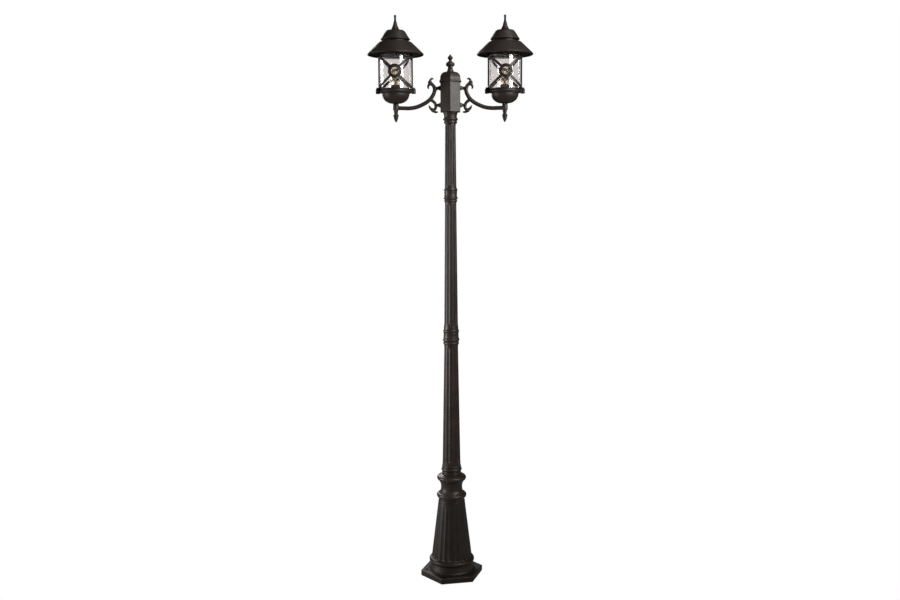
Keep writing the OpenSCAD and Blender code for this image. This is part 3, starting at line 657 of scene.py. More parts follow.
@dataclass
class Pedestal:
    """Base casting: floor plate, apron and fluted bell."""

    plate_turn: float = 11.1
    anchor_inset: float = 26.0
    anchor_r: float = 6.0
    plate_h: float = 25.0
    apron_r: float = 98.0
    foot_r: float = 96.5
    low_r: float = 84.0
    wall: float = 7.0
    box: Span = field(default_factory=lambda: Span.of("pedestal"))

    @property
    def corner_r(self) -> float:
        """Distance from the axis to a corner of the plate."""
        return self.box.radius / math.cos(math.radians(self.plate_turn))

    def drill(self, spot: tuple[float, float]) -> bmesh.types.BMesh:
        """Cutter for one anchor hole."""
        return turned([(0, -3), (self.anchor_r, -3), (self.anchor_r, 40), (0, 40)], spot, 32)

    def plate(self) -> bmesh.types.BMesh:
        """Hexagonal plate, hollow underneath, with three anchor holes."""
        body = prism(6, self.corner_r, 0, self.plate_h, self.plate_turn, edge=3.4)
        hollow = prism(6, self.corner_r - 9, -5, self.plate_h - 9, self.plate_turn, edge=0)
        middle = turned([(0, -6), (self.low_r - self.wall, -6), (self.low_r - self.wall, 60), (0, 60)])
        circle = self.corner_r - self.anchor_inset
        turns = [math.radians(self.plate_turn - 60 + 120 * i) for i in range(3)]
        spots = [(circle * math.cos(turn), circle * math.sin(turn)) for turn in turns]
        shell = drilled(drilled(body, hollow, middle), *[self.drill(spot) for spot in spots])
        pillar_top = self.plate_h - 8
        pillar = [(0, 0.2), (13, 0.2), (13, pillar_top), (0, pillar_top)]
        pillars = [drilled(turned(pillar, spot, 32), self.drill(spot)) for spot in spots]
        return joined(shell, *pillars)

    def bell(self) -> bmesh.types.BMesh:
        """Apron, rounded foot and the bell, whose flutes flare out over the foot."""
        top_r, top_z = 56.6, self.box.z1
        z = self.plate_h
        flutes = Flutes(count=24, depth=3.2, share=0.84, low=z + 57, high=top_z - 9, open_foot=True)
        inner = self.low_r - self.wall
        r = self.apron_r
        apron = soften([(inner, z - 2), (r, z - 2), (r, z + 4.6), (r - 2.6, z + 7.4), (r - 3.6, z + 9),
                        (r - 6.2, z + 19), (r - 8, z + 27), (r - 8.4, z + 31.5)], 1.2)
        foot = arc((self.foot_r - 11.6, z + 42.6), 11.4, -66, 76, 14)
        flare = [(self.foot_r - 8.8, z + 55.2), (self.low_r + 3.4, z + 56), (self.low_r + 2.4, z + 58.5),
                 (self.low_r + 1.5, z + 62), (self.low_r + 0.8, z + 67), (self.low_r + 0.2, z + 73)]
        shaft = flutes.rows((self.low_r - 0.5, z + 80), (top_r, top_z - 7), fine=11.0)
        inside = [(22, top_z), (22, top_z - 12), (top_r - 10, top_z - 20), (inner, z + 48)]
        return turned(apron + foot + flare + shaft + [(top_r, top_z - 2.5), (top_r - 1, top_z)] + inside,
                      segments=288, flutes=flutes, bore=inner + 0.5)

    def build(self) -> None:
        """Make the casting."""
        # The casting gets the darkened copy of the powder coat, which is painted shade for the lower post.
        place_piece("pedestal_casting", joined(self.plate(), self.bell()), Finish.BASE, "post",
                    ["pedestal"], crease=40)


@dataclass
class Column:
    """Castings from the urn up to the neck collar."""

    segments: int = 96
    pole_flutes: int = 16

    def ring(self, node: str, outline: Outline, bore: float, soft: float = 0.8) -> None:
        """Turn one plain ring of the column.

        Args:
            node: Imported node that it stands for.
            outline: Outer outline from foot to top.
            bore: Radius of the bore.
            soft: Rounding of its corners.
        """
        low, high = outline[0][1], outline[-1][1]
        shape = soften([(bore, low), *outline, (bore, high)], soft)
        place_piece(f"{node}_casting", turned(shape, segments=self.segments), Finish.COLUMN, "post",
                    [node])

    def urn(self) -> None:
        """Casting with two rolls and a waist."""
        box = Span.of("pedestal_urn")
        z, top = box.z0, box.z1
        self.ring("pedestal_urn", [(54.8, z), (54.8, z + 7.5), (53.2, z + 9.5), (54.4, z + 12),
                                   *arc((52.2, z + 21), 11.2, -52, 58, 12), (54.4, z + 31.5),
                                   (50.2, z + 36.5),
                                   (46.8, z + 43), (45.4, z + 50), (45.1, z + 58), (45.9, z + 67),
                                   (48.4, z + 75.5), (52.2, z + 82.5), (54.6, z + 86),
                                   *arc((50.8, z + 97), 11.2, -52, 74, 12),
                                   (47.0, z + 109), (43.0, z + 111.2), (40.0, top)], 22.0)

    def foot_ring(self) -> None:
        """Ring with a large bead under the lower pole."""
        box = Span.of("foot_ring")
        z, top = box.z0, box.z1
        r = 38.5
        self.ring("foot_ring", [(r + 1.4, z), *bead(r + 0.6, z + 0.8, z + 7.6, 2.4),
                                *bead(r - 0.4, z + 8, z + 14.4, 2.4), (r - 0.6, z + 15.4),
                                *bead(r + 0.6, z + 16, z + 29, 4.6), (r, z + 30.4),
                                *bead(r - 0.2, z + 31.5, z + 40, 2.4), (r, top - 3), (r, top)], 22.0)

    def pole(self, node: str) -> None:
        """Fluted taper tube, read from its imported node.

        Args:
            node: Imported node.
        """
        box = Span.of(node)
        low_r, high_r = box.radius, self.pole_top_r(node)
        bore = high_r - 7
        flutes = Flutes(count=self.pole_flutes, depth=1.9, share=0.82, low=box.z0 + 8, high=box.z1 - 8)
        outer = flutes.rows((low_r, box.z0), (high_r, box.z1), fine=6.0)
        shape = [(bore, box.z0), *outer, (bore, box.z1)]
        place_piece(f"{node}_casting", turned(shape, segments=256, flutes=flutes, bore=bore), Finish.COLUMN,
                    "post", [node], crease=45)

    @staticmethod
    def pole_top_r(node: str) -> float:
        """Radius of a pole's top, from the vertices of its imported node."""
        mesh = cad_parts[node].data
        top = max(v.co.z for v in mesh.vertices)
        return max(math.hypot(v.co.x, v.co.y) for v in mesh.vertices if v.co.z > top - 1e-4) / MM

    def coupling(self, node: str, low_r: float, high_r: float, crown: float) -> None:
        """Collar with a stepped foot, a bead on each side of a hollow waist, and a short throat.

        Args:
            node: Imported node.
            low_r: Radius of the pole below.
            high_r: Radius of the pole above.
            crown: Place of the upper bead, as a share of the height.
        """
        box = Span.of(node)
        z, h = box.z0, box.height
        waist = (low_r + high_r) / 2 + 2.2
        throat = [(high_r + 2.4, z + (crown + 0.055) * h), (high_r + 1.6, z + (crown + 0.08) * h),
                  (high_r + 1.0, z + 0.97 * h), (high_r + 0.6, z + h)]
        self.ring(node, [(low_r + 0.8, z), *bead(low_r + 1.6, z + 0.02 * h, z + 0.16 * h, 2.0),
                         (low_r + 2.0, z + 0.18 * h), *bead(low_r + 2.6, z + 0.2 * h, z + 0.35 * h, 3.0),
                         (waist + 0.9, z + 0.39 * h), (waist, z + 0.47 * h), (waist, z + 0.55 * h),
                         (waist + 0.7, z + (crown - 0.1) * h),
                         *bead(high_r + 2.0, z + (crown - 0.07) * h, z + (crown + 0.05) * h, 2.4), *throat],
                  high_r - 7, 0.6)

    def neck(self) -> None:
        """Ringed collar that opens under the head box."""
        box = Span.of("neck_collar")
        z, top = box.z0, box.z1
        r = 21.9
        self.ring("neck_collar", [(r + 1, z), (r + 4.8, z + 1.5), (r + 5.6, z + 5), (r + 5.2, z + 9),
                                  (r + 4.4, z + 12), *bead(r + 4.8, z + 13, z + 24, 4.0),
                                  (r + 4.6, z + 26), (r + 4.8, z + 32), (r + 5.6, z + 37), (r + 7.4, z + 42),
                                  (r + 8.9, top)], 15.9)

    def build(self) -> None:
        """Make the column."""
        self.urn()
        self.foot_ring()
        for node in ("lower_pole", "middle_pole", "upper_pole"):
            self.pole(node)
        self.coupling("lower_coupling", self.pole_top_r("lower_pole"), Span.of("middle_pole").radius, 0.74)
        self.coupling("upper_coupling", self.pole_top_r("middle_pole"), Span.of("upper_pole").radius, 0.85)
        self.neck()
        for node in ("foot_spigot", "lower_spigot", "upper_spigot", "neck_spigot"):
            dress(node, Finish.STEEL)


@dataclass
class Head:
    """Hexagonal head box, its lid and finial, and the fittings inside."""

    box_node: Span = field(default_factory=lambda: Span.of("head_box"))
    cap: Span = field(default_factory=lambda: Span.of("head_cap"))
    wall: float = 4.0

    @staticmethod
    def across_corners(half: float) -> float:
        """Corner radius of a hexagon with this half width across its flats."""
        return half / math.cos(math.radians(30))

    def casing(self) -> None:
        """Box with sharp cast edges and a thin band below the lid."""
        half, z0, z1 = self.box_node.radius, self.box_node.z0, self.box_node.z1
        outer = prism(6, self.across_corners(half), z0, z1, 30, edge=0.9)
        inner = prism(6, self.across_corners(half - self.wall), z0 + self.wall, z1 + 5, 30, edge=0)
        hole = turned([(0, z0 - 2), (15.9, z0 - 2), (15.9, z0 + 8), (0, z0 + 8)])
        place_piece("head_box_casting", drilled(outer, inner, hole), Finish.COLUMN, "post",
                    ["head_box"], crease=25)

    def lid(self) -> None:
        """Faceted dome: a short rim, a step and six curved faces."""
        half, z0, z1 = self.cap.radius, self.cap.z0, self.cap.z1
        shoulder = z0 + 16
        levels = [(half - 1.4, z0), (half, z0 + 1.6), (half, z0 + 4.2), (half - 1.6, z0 + 5.6),
                  (half - 2.6, z0 + 6.6), (half - 2.8, z0 + 9), (half - 3.6, shoulder)]
        dome = [(15.5 + (half - 19.1) * math.cos(a), shoulder + (z1 - shoulder) * math.sin(a))
                for a in [math.radians(90 * i / 12) for i in range(1, 13)]]
        outer = levels + dome
        inside = [(r - 3.6, z - 3.2 if z > shoulder else z) for r, z in reversed(outer) if r > 16]
        bm = self.stacked(outer + [(3.2, z1), (3.2, z1 - 3.4)] + inside)
        place_piece("head_lid_casting", bm, Finish.COLUMN, "lid", ["head_cap"], crease=28)

    def stacked(self, outline: Outline) -> bmesh.types.BMesh:
        """Spin a closed outline in six steps, with the edges between the flats bevelled.

        Args:
            outline: Half width across the flats and height.

        Returns:
            The mesh, in metres.
        """
        shape = [(self.across_corners(r), z) for r, z in outline]
        bm = turned(shape, segments=6)
        bmesh.ops.rotate(bm, verts=bm.verts, matrix=Matrix.Rotation(math.radians(30), 3, "Z"))
        ribs = [e for e in bm.edges if abs(math.atan2(e.verts[0].co.y, e.verts[0].co.x)
                                           - math.atan2(e.verts[1].co.y, e.verts[1].co.x)) < 1e-3
                and min(math.hypot(*v.co.xy) for v in e.verts) > 8 * MM]
        bmesh.ops.bevel(bm, geom=ribs, offset=0.7 * MM, segments=2, profile=0.5, affect="EDGES", material=-1)
        return bm

    def finial(self) -> None:
        """Turned cap nut with a knob and a bud."""
        box = Span.of("centre_finial")
        z, top = box.z0, box.z1
        shape = [(3.2, z), (12.8, z), (13.8, z + 1.4), (13.8, z + 7.2), (12.4, z + 9), (10.2, z + 10.4),
                 (9.8, z + 12), (10.5, z + 14), (10.5, z + 16.4), (9.6, z + 18), (10.0, z + 20.2),
                 (12.4, z + 22.6), *arc((9.6, z + 30), 8.8, -54, 56, 12), (11.8, z + 38.8), (8.4, z + 41.2),
                 (6.4, z + 43.6), (5.7, z + 46), (6.2, z + 48), (8.2, z + 50.2),
                 *arc((4.6, z + 56), 6.2, -42, 50, 10), (6.2, z + 63), (3.2, z + 67), (1.6, z + 69.6),
                 (0, top)]
        outline = [(0, z + 32), (3.2, z + 32), *shape]
        place_piece("lid_finial", turned(soften(outline, 0.8), segments=64), Finish.COLUMN, "lid_nut",
                    ["centre_finial"])

    def fittings(self) -> None:
        """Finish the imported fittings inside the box."""
        dress("cap_seal", Finish.RUBBER)
        dress("cap_stud", Finish.STEEL)
        dress("terminal_block", Finish.NYLON)
        dress("earth_screw", Finish.BRASS)
        dress("arm_screws", Finish.STEEL)
        dress("leads", Finish.SHEATH)

    def build(self) -> None:
        """Make the head."""
        self.casing()
        self.lid()
        self.finial()
        self.fittings()


# Sections of the bars, in millimetres: across the sweep and along Y.
RIBBED_BAR = [(8.0, 3.0), (7.0, 4.8), (4.6, 5.2), (3.6, 6.9), (1.7, 7.5), (-1.7, 7.5), (-3.6, 6.9),
              (-4.6, 5.2), (-7.0, 4.8), (-8.0, 3.0), (-8.0, -3.0), (-7.0, -4.8), (-4.6, -5.2), (-3.6, -6.9),
              (-1.7, -7.5), (1.7, -7.5), (3.6, -6.9), (4.6, -5.2), (7.0, -4.8), (8.0, -3.0)]
LEAF_BAR = [(6.6, 0.0), (5.4, 3.0), (2.0, 5.0), (0.0, 5.8), (-2.0, 5.0), (-5.4, 3.0), (-6.6, 0.0),
            (-5.4, -3.0), (-2.0, -5.0), (0.0, -5.8), (2.0, -5.0), (5.4, -3.0)]


@dataclass
class Arm:
    """Scrolled bracket casting with two leaf scrolls and the lantern boss."""

    side: Side
    floor: float = field(default_factory=lambda: Span.of("head_box").z0)
    face: float = field(default_factory=lambda: Span.of("head_box").radius)

    @property
    def reach(self) -> float:
        """Distance from the column's axis to the lantern's."""
        return abs(Span.of(f"{self.side.word}_bowl").x)

    def shapes(self) -> list[bmesh.types.BMesh]:
        """Swept bars and leaves, right-hand side, heights above the box floor."""
        face = self.face
        main = [(self.reach - 8, 17), (self.reach - 34, 16.3), (face + 128, 16), (face + 100, 20),
                (face + 82, 26.5), (face + 64.5, 35), (face + 57, 39.5), (face + 42, 51.5), (face + 32, 65),
                (face + 25.5, 79), (face + 23.6, 90), (face + 25.6, 101), (face + 31.5, 110),
                (face + 38, 117)]
        widths = [1.0] * 10 + [0.98, 0.92, 0.8, 0.7]
        stub_high = [(face + 0.2, 96.7), (face + 5, 96.7), (face + 10, 96.7), (face + 18, 96.2),
                     (face + 25, 93)]
        stub_low = [(face + 0.2, 28), (face + 5, 28), (face + 10, 28), (face + 17, 28), (face + 22, 27)]
        branch = [(face + 38, 52), (face + 33, 46), (face + 25.5, 40), (face + 20.8, 32), (face + 19.2, 24),
                  (face + 20.5, 16), (face + 26, 10), (face + 32, 6)]
        hook_high = [(face + 38, 117), (face + 41.5, 124), (face + 39, 131.5), (face + 33, 134.6),
                     (face + 28, 131.8)]
        knob_high = [(face + 38, 114), (face + 44, 119), (face + 50.5, 121.5)]
        hook_out = [(face + 36, 112), (face + 42, 113.5), (face + 47.5, 108.5), (face + 50, 101),
                    (face + 47.6, 93)]
        hook_low = [(face + 30, 9), (face + 38, 13), (face + 43.5, 20), (face + 47, 27.5)]
        knob_low = [(face + 29, 10), (face + 33, 4.5), (face + 35.5, 1.5)]
        hook_in = [(face + 29, 7), (face + 24, 2.2), (face + 17, 0.2), (face + 9.6, 1.6)]
        return [
            swept(main, widths, RIBBED_BAR, 12),
            swept(stub_high, [1.3, 1.05, 0.68, 0.74, 0.95], RIBBED_BAR),
            swept(stub_low, [1.3, 1.05, 0.7, 0.78, 0.85], RIBBED_BAR),
            swept(branch, [0.86, 0.8, 0.76, 0.78, 0.8, 0.76, 0.72, 0.68], RIBBED_BAR, 10),
            swept(hook_high, [1.05, 0.85, 0.7, 0.58, 0.34], LEAF_BAR),
            swept(knob_high, [1.1, 1.1, 0.62], LEAF_BAR),
            swept(hook_out, [1.05, 0.95, 0.8, 0.66, 0.36], LEAF_BAR),
            swept(hook_low, [1.05, 0.88, 0.68, 0.34], LEAF_BAR),
            swept(knob_low, [1.1, 1.05, 0.66], LEAF_BAR),
            swept(hook_in, [1.05, 0.84, 0.66, 0.34], LEAF_BAR),
        ]

    def build(self) -> None:
        """Make the arm as one casting."""
        boss = Span.of(f"{self.side.word}_bowl").z0
        low = Span.of(f"{self.side.word}_bud_finial").z1
        hub = turned(soften([(0, low + 0.4), (11.2, low + 0.4), (12, low + 2.5), (12, boss - 3),
                             (10.6, boss - 0.6), (0, boss - 0.6)], 0.8), (self.reach, 0), 64)
        scrolls = joined(*self.shapes())
        bmesh.ops.translate(scrolls, verts=scrolls.verts, vec=(0, 0, self.floor * MM))
        bm = fused(joined(scrolls, hub), voxel=0.85, rounds=3)
        if self.side is Side.LEFT:
            bmesh.ops.scale(bm, vec=(-1, 1, 1), verts=bm.verts)
            bmesh.ops.reverse_faces(bm, faces=bm.faces)
        place_piece(f"{self.side.word}_arm_casting", bm, Finish.COLUMN, "post",
                    [f"{self.side.word}_arm"], crease=60)


@dataclass
class Lantern:
    """One lantern from its bud finial to its top finial."""

    side: Side

    def span(self, piece: str) -> Span:
        """Box of one of this lantern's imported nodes."""
        return Span.of(f"{self.side.word}_{piece}")

    @property
    def axis(self) -> tuple[float, float]:
        """Place of the lantern's axis."""
        return (self.span("bowl").x, 0.0)

    def put(self, name: str, bm: bmesh.types.BMesh, finish: Finish = Finish.LANTERN, body: str = "post",
            crease: float = 32.0) -> None:
        """Place a piece that stands for the node of the same name."""
        node = f"{self.side.word}_{name}"
        place_piece(f"{node}_piece", bm, finish, body, [node], crease)

    def bowl(self) -> None:
        """Half-round pan that the lantern stands in."""
        box = self.span("bowl")
        z, top, r = box.z0, box.z1, box.radius
        foot = 13.5
        outer = [(foot - 4, z), (foot - 1, z + 1.2)]
        outer += [(foot + (r - foot) * math.sin(a), z + 2 + (top - z - 2) * (1 - math.cos(a)))
                  for a in [math.radians(90 * i / 20) for i in range(21)]]
        inner = [(foot - 2 + (r - foot - 2) * math.sin(a), z + 5.5 + (top - z - 5.5) * (1 - math.cos(a)))
                 for a in [math.radians(90 * i / 16) for i in range(16, -1, -1)]]
        self.put("bowl", turned([(5.1, z), *outer, *inner, (5.1, z + 5.5)], self.axis))

    def gallery(self) -> None:
        """Rolled ring with two round lugs for the side bars."""
        box = self.span("gallery")
        z, top = box.z0, box.z1
        inner = 50.0
        outline = soften([(inner, z), (57, z), (61, z + 2.5), *bead(61, z + 3.5, z + 14.5, 4.6),
                          (62.6, z + 16), (66.2, top - 1.5), (66.2, top), (63, top), (63, z + 7.2),
                          (inner, z + 7.2)], 0.7)
        ring = turned(outline, self.axis, 128)
        lugs = []
        for m in (-1, 1):
            spot = (self.axis[0] + m * 73.5, 0)
            post = soften([(0, z - 0.2), (7.2, z - 0.2), (8.4, z + 1.5), (8.4, z + 6), (7.6, z + 7.2),
                           (7.6, z + 8.2), (8.4, z + 9.4), (8.4, top - 1.5), (7.4, top), (0, top)], 0.6)
            lugs.append(turned(post, spot, 40))
            lugs.append(block((14, 13, 15), (self.axis[0] + m * 68, 0, z + 9), 1.4))
        self.put("gallery", joined(ring, *lugs))

    def cylinder(self) -> None:
        """Glass cylinder with ground and polished ends."""
        box = self.span("glass")
        r, w = box.radius, 2.6
        outline = soften([(r - w / 2, box.z0), (r, box.z0), (r, box.z1), (r - w, box.z1), (r - w, box.z0),
                          (r - w / 2 - 0.01, box.z0)], 0.7)
        self.put("glass", turned(outline[:-1], self.axis, 160), Finish.CYLINDER)

    def bars(self) -> None:
        """Two upright bars with a foot on each lug."""
        box = self.span("side_bars")
        parts = []
        for m in (-1, 1):
            x = self.axis[0] + m * 67.2
            parts.append(block((6.6, 9, box.height - 0.2), (x, 0, (box.z0 + box.z1) / 2), 0.9))
            parts.append(block((15, 9, 4), (self.axis[0] + m * 71.5, 0, box.z0 + 2.1), 0.9))
        self.put("side_bars", joined(*parts))

    def wrap(self, bm: bmesh.types.BMesh, front: bool, radius: float) -> None:
        """Press a flat pattern in the X-Z plane onto a cylinder round the glass.

        Args:
            bm: Pattern whose depth lies along Y, 0 at its inner face.
            front: Whether it goes on the front side.
            radius: Radius of the inner face, in millimetres.
        """
        side_bar = 4.9
        for v in bm.verts:
            across, depth = v.co.x / MM, v.co.y / MM
            v.co.y = -math.sqrt(max((radius + depth) ** 2 - across**2, side_bar**2)) * MM
        if not front:
            bmesh.ops.scale(bm, vec=(1, -1, 1), verts=bm.verts)
            bmesh.ops.reverse_faces(bm, faces=bm.faces)
        bmesh.ops.translate(bm, verts=bm.verts, vec=(self.axis[0] * MM, 0, 0))

    def guard(self, front: bool) -> None:
        """Curved X grille with a stepped ring in its middle."""
        name = "front_guard" if front else "back_guard"
        box = self.span(name)
        low, high, mid = box.z0, box.z1, (box.z0 + box.z1) / 2
        edge = 65.6
        deep = 5.4
        parts = []
        for mx in (-1, 1):
            for mz in (-1, 1):
                start = Vector((mx * 17.5, mz * 17.5))
                end = Vector((mx * edge, mz * (high - low - 3) / 2))
                length = (end - start).length
                bar = block((length, 10.0, deep), (0, 0, 0), 1.3)
                lengthwise = [e for e in bar.edges if e.calc_length() > 0.8 * length * MM]
                bmesh.ops.subdivide_edges(bar, edges=lengthwise, cuts=40, use_grid_fill=True)
                bmesh.ops.rotate(bar, verts=bar.verts, matrix=Matrix.Rotation(math.pi / 2, 3, "X"))
                slope = math.atan2(end.y - start.y, end.x - start.x)
                bmesh.ops.rotate(bar, verts=bar.verts, matrix=Matrix.Rotation(-slope, 3, "Y"))
                centre = (start + end) / 2
                middle = (centre.x * MM, deep / 2 * MM, (mid + centre.y) * MM)
                bmesh.ops.translate(bar, verts=bar.verts, vec=middle)
                parts.append(bar)
        ring = turned(soften([(15.2, 0), (28, 0), (28, 4.6), (26.2, 5.8), (24, 5.8), (22.6, 4.6), (21.6, 4.6),
                              (20.4, 6.6), (17.6, 6.6), (16, 5.4), (15.2, 5.2)], 0.5), segments=72)
        bmesh.ops.rotate(ring, verts=ring.verts, matrix=Matrix.Rotation(-math.pi / 2, 3, "X"))
        bmesh.ops.translate(ring, verts=ring.verts, vec=(0, 0, mid * MM))
        parts.append(ring)
        pattern = joined(*parts)
        self.wrap(pattern, front, 65.2)
        bmesh.ops.recalc_face_normals(pattern, faces=pattern.faces)
        self.put(name, pattern)

    def roofs(self) -> None:
        """Wide conical roof and the small roof that sits on its neck."""
        box = self.span("large_roof")
        z, top, r = box.z0, box.z1, box.radius
        plate = top - 6
        outline = [(r - 7, z), *arc((r - 3.4, z + 3.4), 3.4, -90, 45, 8), (67.6, plate - 4.4),
                   (65.6, plate - 3), (46.5, plate), (45.5, plate + 0.8), (45.5, top - 0.4), (42, top - 0.4),
                   (42, plate - 0.5), (3.3, plate - 0.5), (3.3, plate - 3), (12, plate - 3),
                   (62.5, plate - 6.4), (r - 7.4, z + 5.6), (r - 7.6, z + 0.6)]
        body = f"{self.side.word}_roof"
        self.put("large_roof", turned(soften(outline, 0.8), self.axis, 160), body=body)
        box = self.span("small_roof")
        z, top, r = box.z0, box.z1, box.radius
        outline = [(43, z), (r - 4, z), *arc((r - 2.6, z + 2.6), 2.6, -90, 50, 8), (r - 7.4, z + 13),
                   (r - 12.4, z + 22), (r - 18, z + 30), (r - 21.2, z + 34.5), (r - 25, z + 37.6),
                   (r - 31, top), (3.3, top), (3.3, top - 3), (r - 32, top - 3.4), (r - 24, z + 29),
                   (r - 16, z + 17),
                   (42, z + 3), (42, z)]
        self.put("small_roof", turned(soften(outline, 0.8), self.axis, 128), body=body)

    def top_finial(self) -> None:
        """Cap nut: a flange, a slim stem and a small ball."""
        box = self.span("top_finial")
        z, top = box.z0, box.z1
        outline = [(0, z + 24), (3.1, z + 24), (3.1, z), (10.8, z), (11.2, z + 2.4), (13.8, z + 3.8),
                   *arc((13.0, z + 6), 2.3, -60, 60, 6), (14.4, z + 9.2), (12.6, z + 12), (10.6, z + 15.5),
                   (9.4, z + 19), (8.6, z + 24), (7.6, z + 28), (6.0, z + 32.5), (4.9, z + 37), (4.4, z + 45),
                   *arc((0, top - 5.4), 5.2, -32, 84, 10), (0, top)]
        self.put("top_finial", turned(soften(outline, 0.6), self.axis, 64), body=f"{self.side.word}_roof_nut")

    def bud(self) -> None:
        """Bud-shaped nut under the boss."""
        box = self.span("bud_finial")
        z, top = box.z0, box.z1
        outline = [(0, z), (2.2, z + 1.2), (5.2, z + 7), (7.6, z + 13), (9.4, z + 19),
                   *arc((6.6, z + 27), 4.9, -55, 60, 8), (8.6, z + 33), (7.4, z + 36.5), (7.8, z + 40),
                   (8.8, z + 43), (8.8, top - 0.3), (5.1, top - 0.3), (5.1, z + 16), (0, z + 16)]
        self.put("bud_finial", turned(soften(outline, 0.8), self.axis, 64), body=f"{self.side.word}_bud")

    def fittings(self) -> None:
        """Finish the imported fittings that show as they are."""
        word = self.side.word
        dress(f"{word}_bridge", Finish.LANTERN)
        dress(f"{word}_roof_stud", Finish.STEEL)

    def holder(self) -> None:
        """Ribbed phenolic lamp holder."""
        box = self.span("lamp_holder")
        z, top, r = box.z0, box.z1, box.radius
        outline = [(5.2, z), (r - 6, z), (r - 2, z + 4), (r - 1.4, z + 9), (r, z + 10.5), (r, z + 14),
                   (r - 1.4, z + 15.4)]
        for i in range(4):
            low = z + 16.5 + 4 * i
            outline += [(r - 1.2, low), (r, low + 0.8), (r, low + 2.2), (r - 1.2, low + 3)]
        outline += [(r - 0.4, top - 1.6), (r - 1.4, top), (15.4, top), (15.4, top - 3), (13.4, top - 3.4),
                    (13.4, z + 10), (5.2, z + 9)]
        self.put("lamp_holder", turned(soften(outline, 0.5), self.axis, 64), Finish.PHENOLIC)

    def bulb(self) -> None:
        """Bulb: threaded cap, clear envelope, stem and filament."""
        word = self.side.word
        body = f"{word}_bulb"
        box = self.span("bulb_cap")
        z, top = box.z0, box.z1
        cap = [(0, z), (3.6, z + 0.2), (4.2, z + 1.6), (9, z + 3), (11.6, z + 4.6)]
        for i in range(5):
            low = z + 5 + 3.6 * i
            cap += [(12.1, low), (13.1, low + 1.2), (13.1, low + 2.0), (12.1, low + 3.2)]
        cap += [(12.8, top - 2.2), (13.2, top - 0.4), (12.6, top), (0, top)]
        self.put("bulb_cap", turned(soften(cap, 0.5), self.axis, 64), Finish.BRASS, body)
        box = self.span("bulb_glass")
        z, top, r = box.z0, box.z1, box.radius
        mid = top - r
        outer = [(12.9, z), (13.4, z + 5), (15.2, z + 13), (18.6, z + 23), (22.4, z + 32), (25.6, z + 41)]
        outer += arc((0, mid), r - 0.1, -14, 89.9, 20)
        inner = [(max(x - 0.8, 0.0), y if y < mid else y - 0.8) for x, y in reversed(outer)]
        self.put("bulb_glass", turned(outer + inner, self.axis, 96), Finish.ENVELOPE, body, 60)
        self.core(body)

    def core(self, body: str) -> None:
        """Glass stem with support wires and a zigzag filament."""
        box = self.span("bulb_core")
        z = box.z0
        stem = turned(soften([(0, z), (7, z), (5.4, z + 6), (3.4, z + 14), (3.2, z + 22), (4.2, z + 25),
                              (3.2, z + 28), (0, z + 28.5)], 0.8), self.axis, 32)
        wires = []
        count, ring = 8, 8.6
        for i in range(count):
            turn = TURN * i / count
            tall = z + (54 if i % 2 else 31)
            foot = Vector((3 * math.cos(turn), 3 * math.sin(turn), z + 26))
            tip = Vector((ring * math.cos(turn), ring * math.sin(turn), tall))
            wires.append(self.rod(foot, tip, 0.35))
        for i in range(count - 1):
            a, b = TURN * i / count, TURN * (i + 1) / count
            low = Vector((ring * math.cos(a), ring * math.sin(a), z + (54 if i % 2 else 31)))
            high = Vector((ring * math.cos(b), ring * math.sin(b), z + (54 if (i + 1) % 2 else 31)))
            wires.append(self.rod(low, high, 0.45))
        self.put("bulb_core", joined(stem, *wires), Finish.TUNGSTEN, body)

    def rod(self, start: Vector, end: Vector, radius: float) -> bmesh.types.BMesh:
        """Thin round rod between two points given from the lantern's axis, in millimetres."""
        bm = bmesh.new()
        along = end - start
        bmesh.ops.create_cone(bm, cap_ends=True, segments=8, radius1=radius * MM, radius2=radius * MM,
                              depth=along.length * MM)
        bmesh.ops.rotate(bm, verts=bm.verts, matrix=along.to_track_quat("Z", "Y").to_matrix())
        middle = (start + end) / 2 + Vector((self.axis[0], 0, 0))
        bmesh.ops.translate(bm, verts=bm.verts, vec=middle * MM)
        return bm

    def build(self) -> None:
        """Make the lantern."""
        for make in (self.bowl, self.gallery, self.cylinder, self.bars, self.roofs, self.top_finial, self.bud,
                     self.fittings, self.holder, self.bulb):
            make()
        self.guard(front=True)
        self.guard(front=False)


# ---------------------------------------------------------------- studio


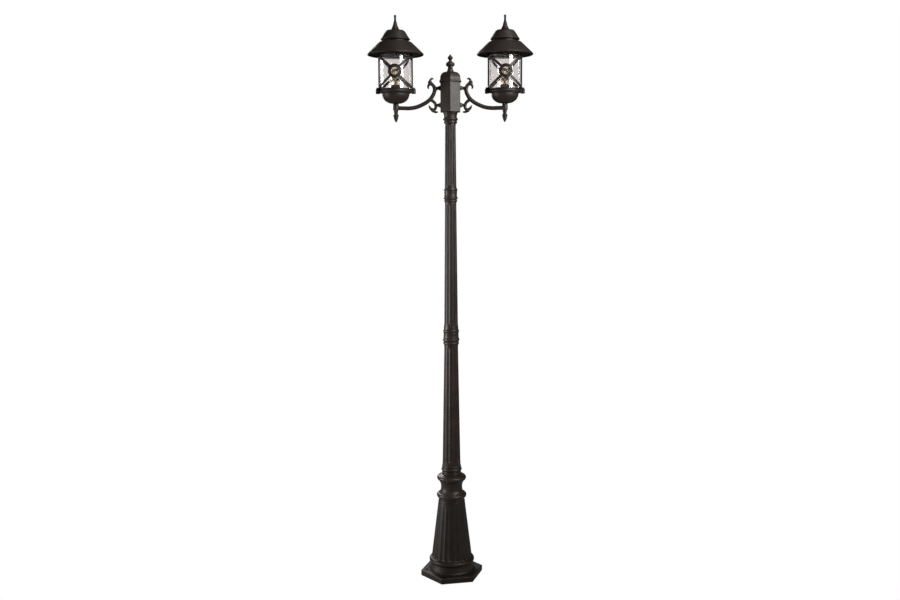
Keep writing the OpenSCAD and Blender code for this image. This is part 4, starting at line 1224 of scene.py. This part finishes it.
@dataclass
class Studio:
    """Camera, floor and lights."""

    distance: float = 3.9348
    eye: float = 1.6498
    aside: float = -0.00417
    pitch: float = 6.683
    roll: float = -0.196
    focal: float = 37.876

    def camera(self) -> None:
        """Camera in front of the post at a standing person's eye height."""
        data = bpy.data.cameras.new("camera")
        data.lens, data.sensor_width = self.focal, 36.0
        data.clip_end = 200.0
        obj = bpy.data.objects.new("camera", data)
        bpy.context.scene.collection.objects.link(obj)
        tilt = Matrix.Rotation(math.radians(90 - self.pitch), 4, "X")
        obj.matrix_world = (Matrix.Translation((self.aside, -self.distance, self.eye)) @ tilt
                            @ Matrix.Rotation(math.radians(self.roll), 4, "Z"))
        bpy.context.scene.camera = obj

    @staticmethod
    def white_to_the_eye(tree: bpy.types.NodeTree, lit: bpy.types.Node, white: bpy.types.Node,
                         output: bpy.types.Node) -> None:
        """Show a surround as white to the camera and through glass, and as itself to all other rays.

        Args:
            tree: Node tree of the surround.
            lit: Shader that lights the post.
            white: Shader that is seen.
            output: Output of the tree.
        """
        path = add(tree, "ShaderNodeLightPath")
        either = add(tree, "ShaderNodeMath", {"0": path.outputs["Is Camera Ray"],
                                              "1": path.outputs["Is Transmission Ray"]}, operation="MAXIMUM")
        mix = add(tree, "ShaderNodeMixShader", {"0": either.outputs[0], "1": lit.outputs[0],
                                                "2": white.outputs[0]})
        tree.links.new(mix.outputs[0], output.inputs["Surface"])

    def floor(self) -> None:
        """Wide pale floor."""
        bm = bmesh.new()
        bmesh.ops.create_grid(bm, x_segments=1, y_segments=1, size=60.0)
        mesh = bpy.data.meshes.new("floor")
        bm.to_mesh(mesh)
        bm.free()
        material, tree, shader = blank("pale_floor")
        shader.inputs["Base Color"].default_value = (0.4, 0.4, 0.4, 1)
        shader.inputs["Roughness"].default_value = 0.9
        white = add(tree, "ShaderNodeEmission", {"Color": (1, 1, 1, 1), "Strength": 1.0})
        self.white_to_the_eye(tree, shader, white, tree.nodes["Material Output"])
        mesh.materials.append(material)
        obj = bpy.data.objects.new("floor", mesh)
        bpy.context.scene.collection.objects.link(obj)

    def panel(self, name: str, where: Sequence[float], target: Sequence[float], size: tuple[float, float],
              power: float, spread: float) -> None:
        """Soft rectangular light with a grid, facing a point.

        Args:
            name: Name of the light.
            where: Place in metres.
            target: Point that it faces.
            size: Width and height in metres.
            power: Power in watts.
            spread: Full angle that the grid lets through, in degrees.
        """
        data = bpy.data.lights.new(name, "AREA")
        data.shape, data.size, data.size_y, data.energy = "RECTANGLE", size[0], size[1], power
        data.spread = math.radians(spread)
        obj = bpy.data.objects.new(name, data)
        bpy.context.scene.collection.objects.link(obj)
        obj.visible_camera = False
        obj.location = where
        obj.rotation_euler = (Vector(target) - Vector(where)).to_track_quat("-Z", "Y").to_euler()

    def world(self) -> None:
        """White surround, bright behind the object and dim as a light."""
        world = bpy.data.worlds.new("studio")
        bpy.context.scene.world = world
        world.use_nodes = True
        tree = world.node_tree
        ground = tree.nodes["Background"]
        ground.inputs["Color"].default_value = (1, 1, 1, 1)
        ground.inputs["Strength"].default_value = 0.045
        seen = add(tree, "ShaderNodeBackground", {"Color": (1, 1, 1, 1), "Strength": 1.0})
        self.white_to_the_eye(tree, ground, seen, tree.nodes["World Output"])

    def build(self) -> None:
        """Make the studio."""
        self.camera()
        self.floor()
        self.world()
        self.panel("key", (2.9, -2.7, 2.75), (0, 0, 2.3), (1.9, 0.9), 31, 85)
        self.panel("top", (1.4, -1.3, 4.6), (0, 0, 2.2), (1.0, 1.0), 7, 90)
        self.panel("fill", (-3.6, -0.5, 1.1), (0, 0, 1.0), (0.6, 1.4), 8, 50)
        self.panel("back", (-1.6, 3.8, 2.8), (0, 0, 1.4), (1.6, 1.6), 45, 120)
        bpy.context.scene.view_settings.view_transform = "Standard"


def main() -> None:
    """Build the post and its studio."""
    logging.basicConfig(level=logging.INFO, format="%(name)s: %(message)s")
    Studio().build()
    Pedestal().build()
    Column().build()
    Head().build()
    for side in Side:
        Arm(side).build()
        Lantern(side).build()
    dress("nipples", Finish.STEEL)
    dress("glass_seals", Finish.RUBBER)
    dress("cage_screws", Finish.STEEL)
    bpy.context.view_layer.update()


if __name__ == "__main__":
    main()
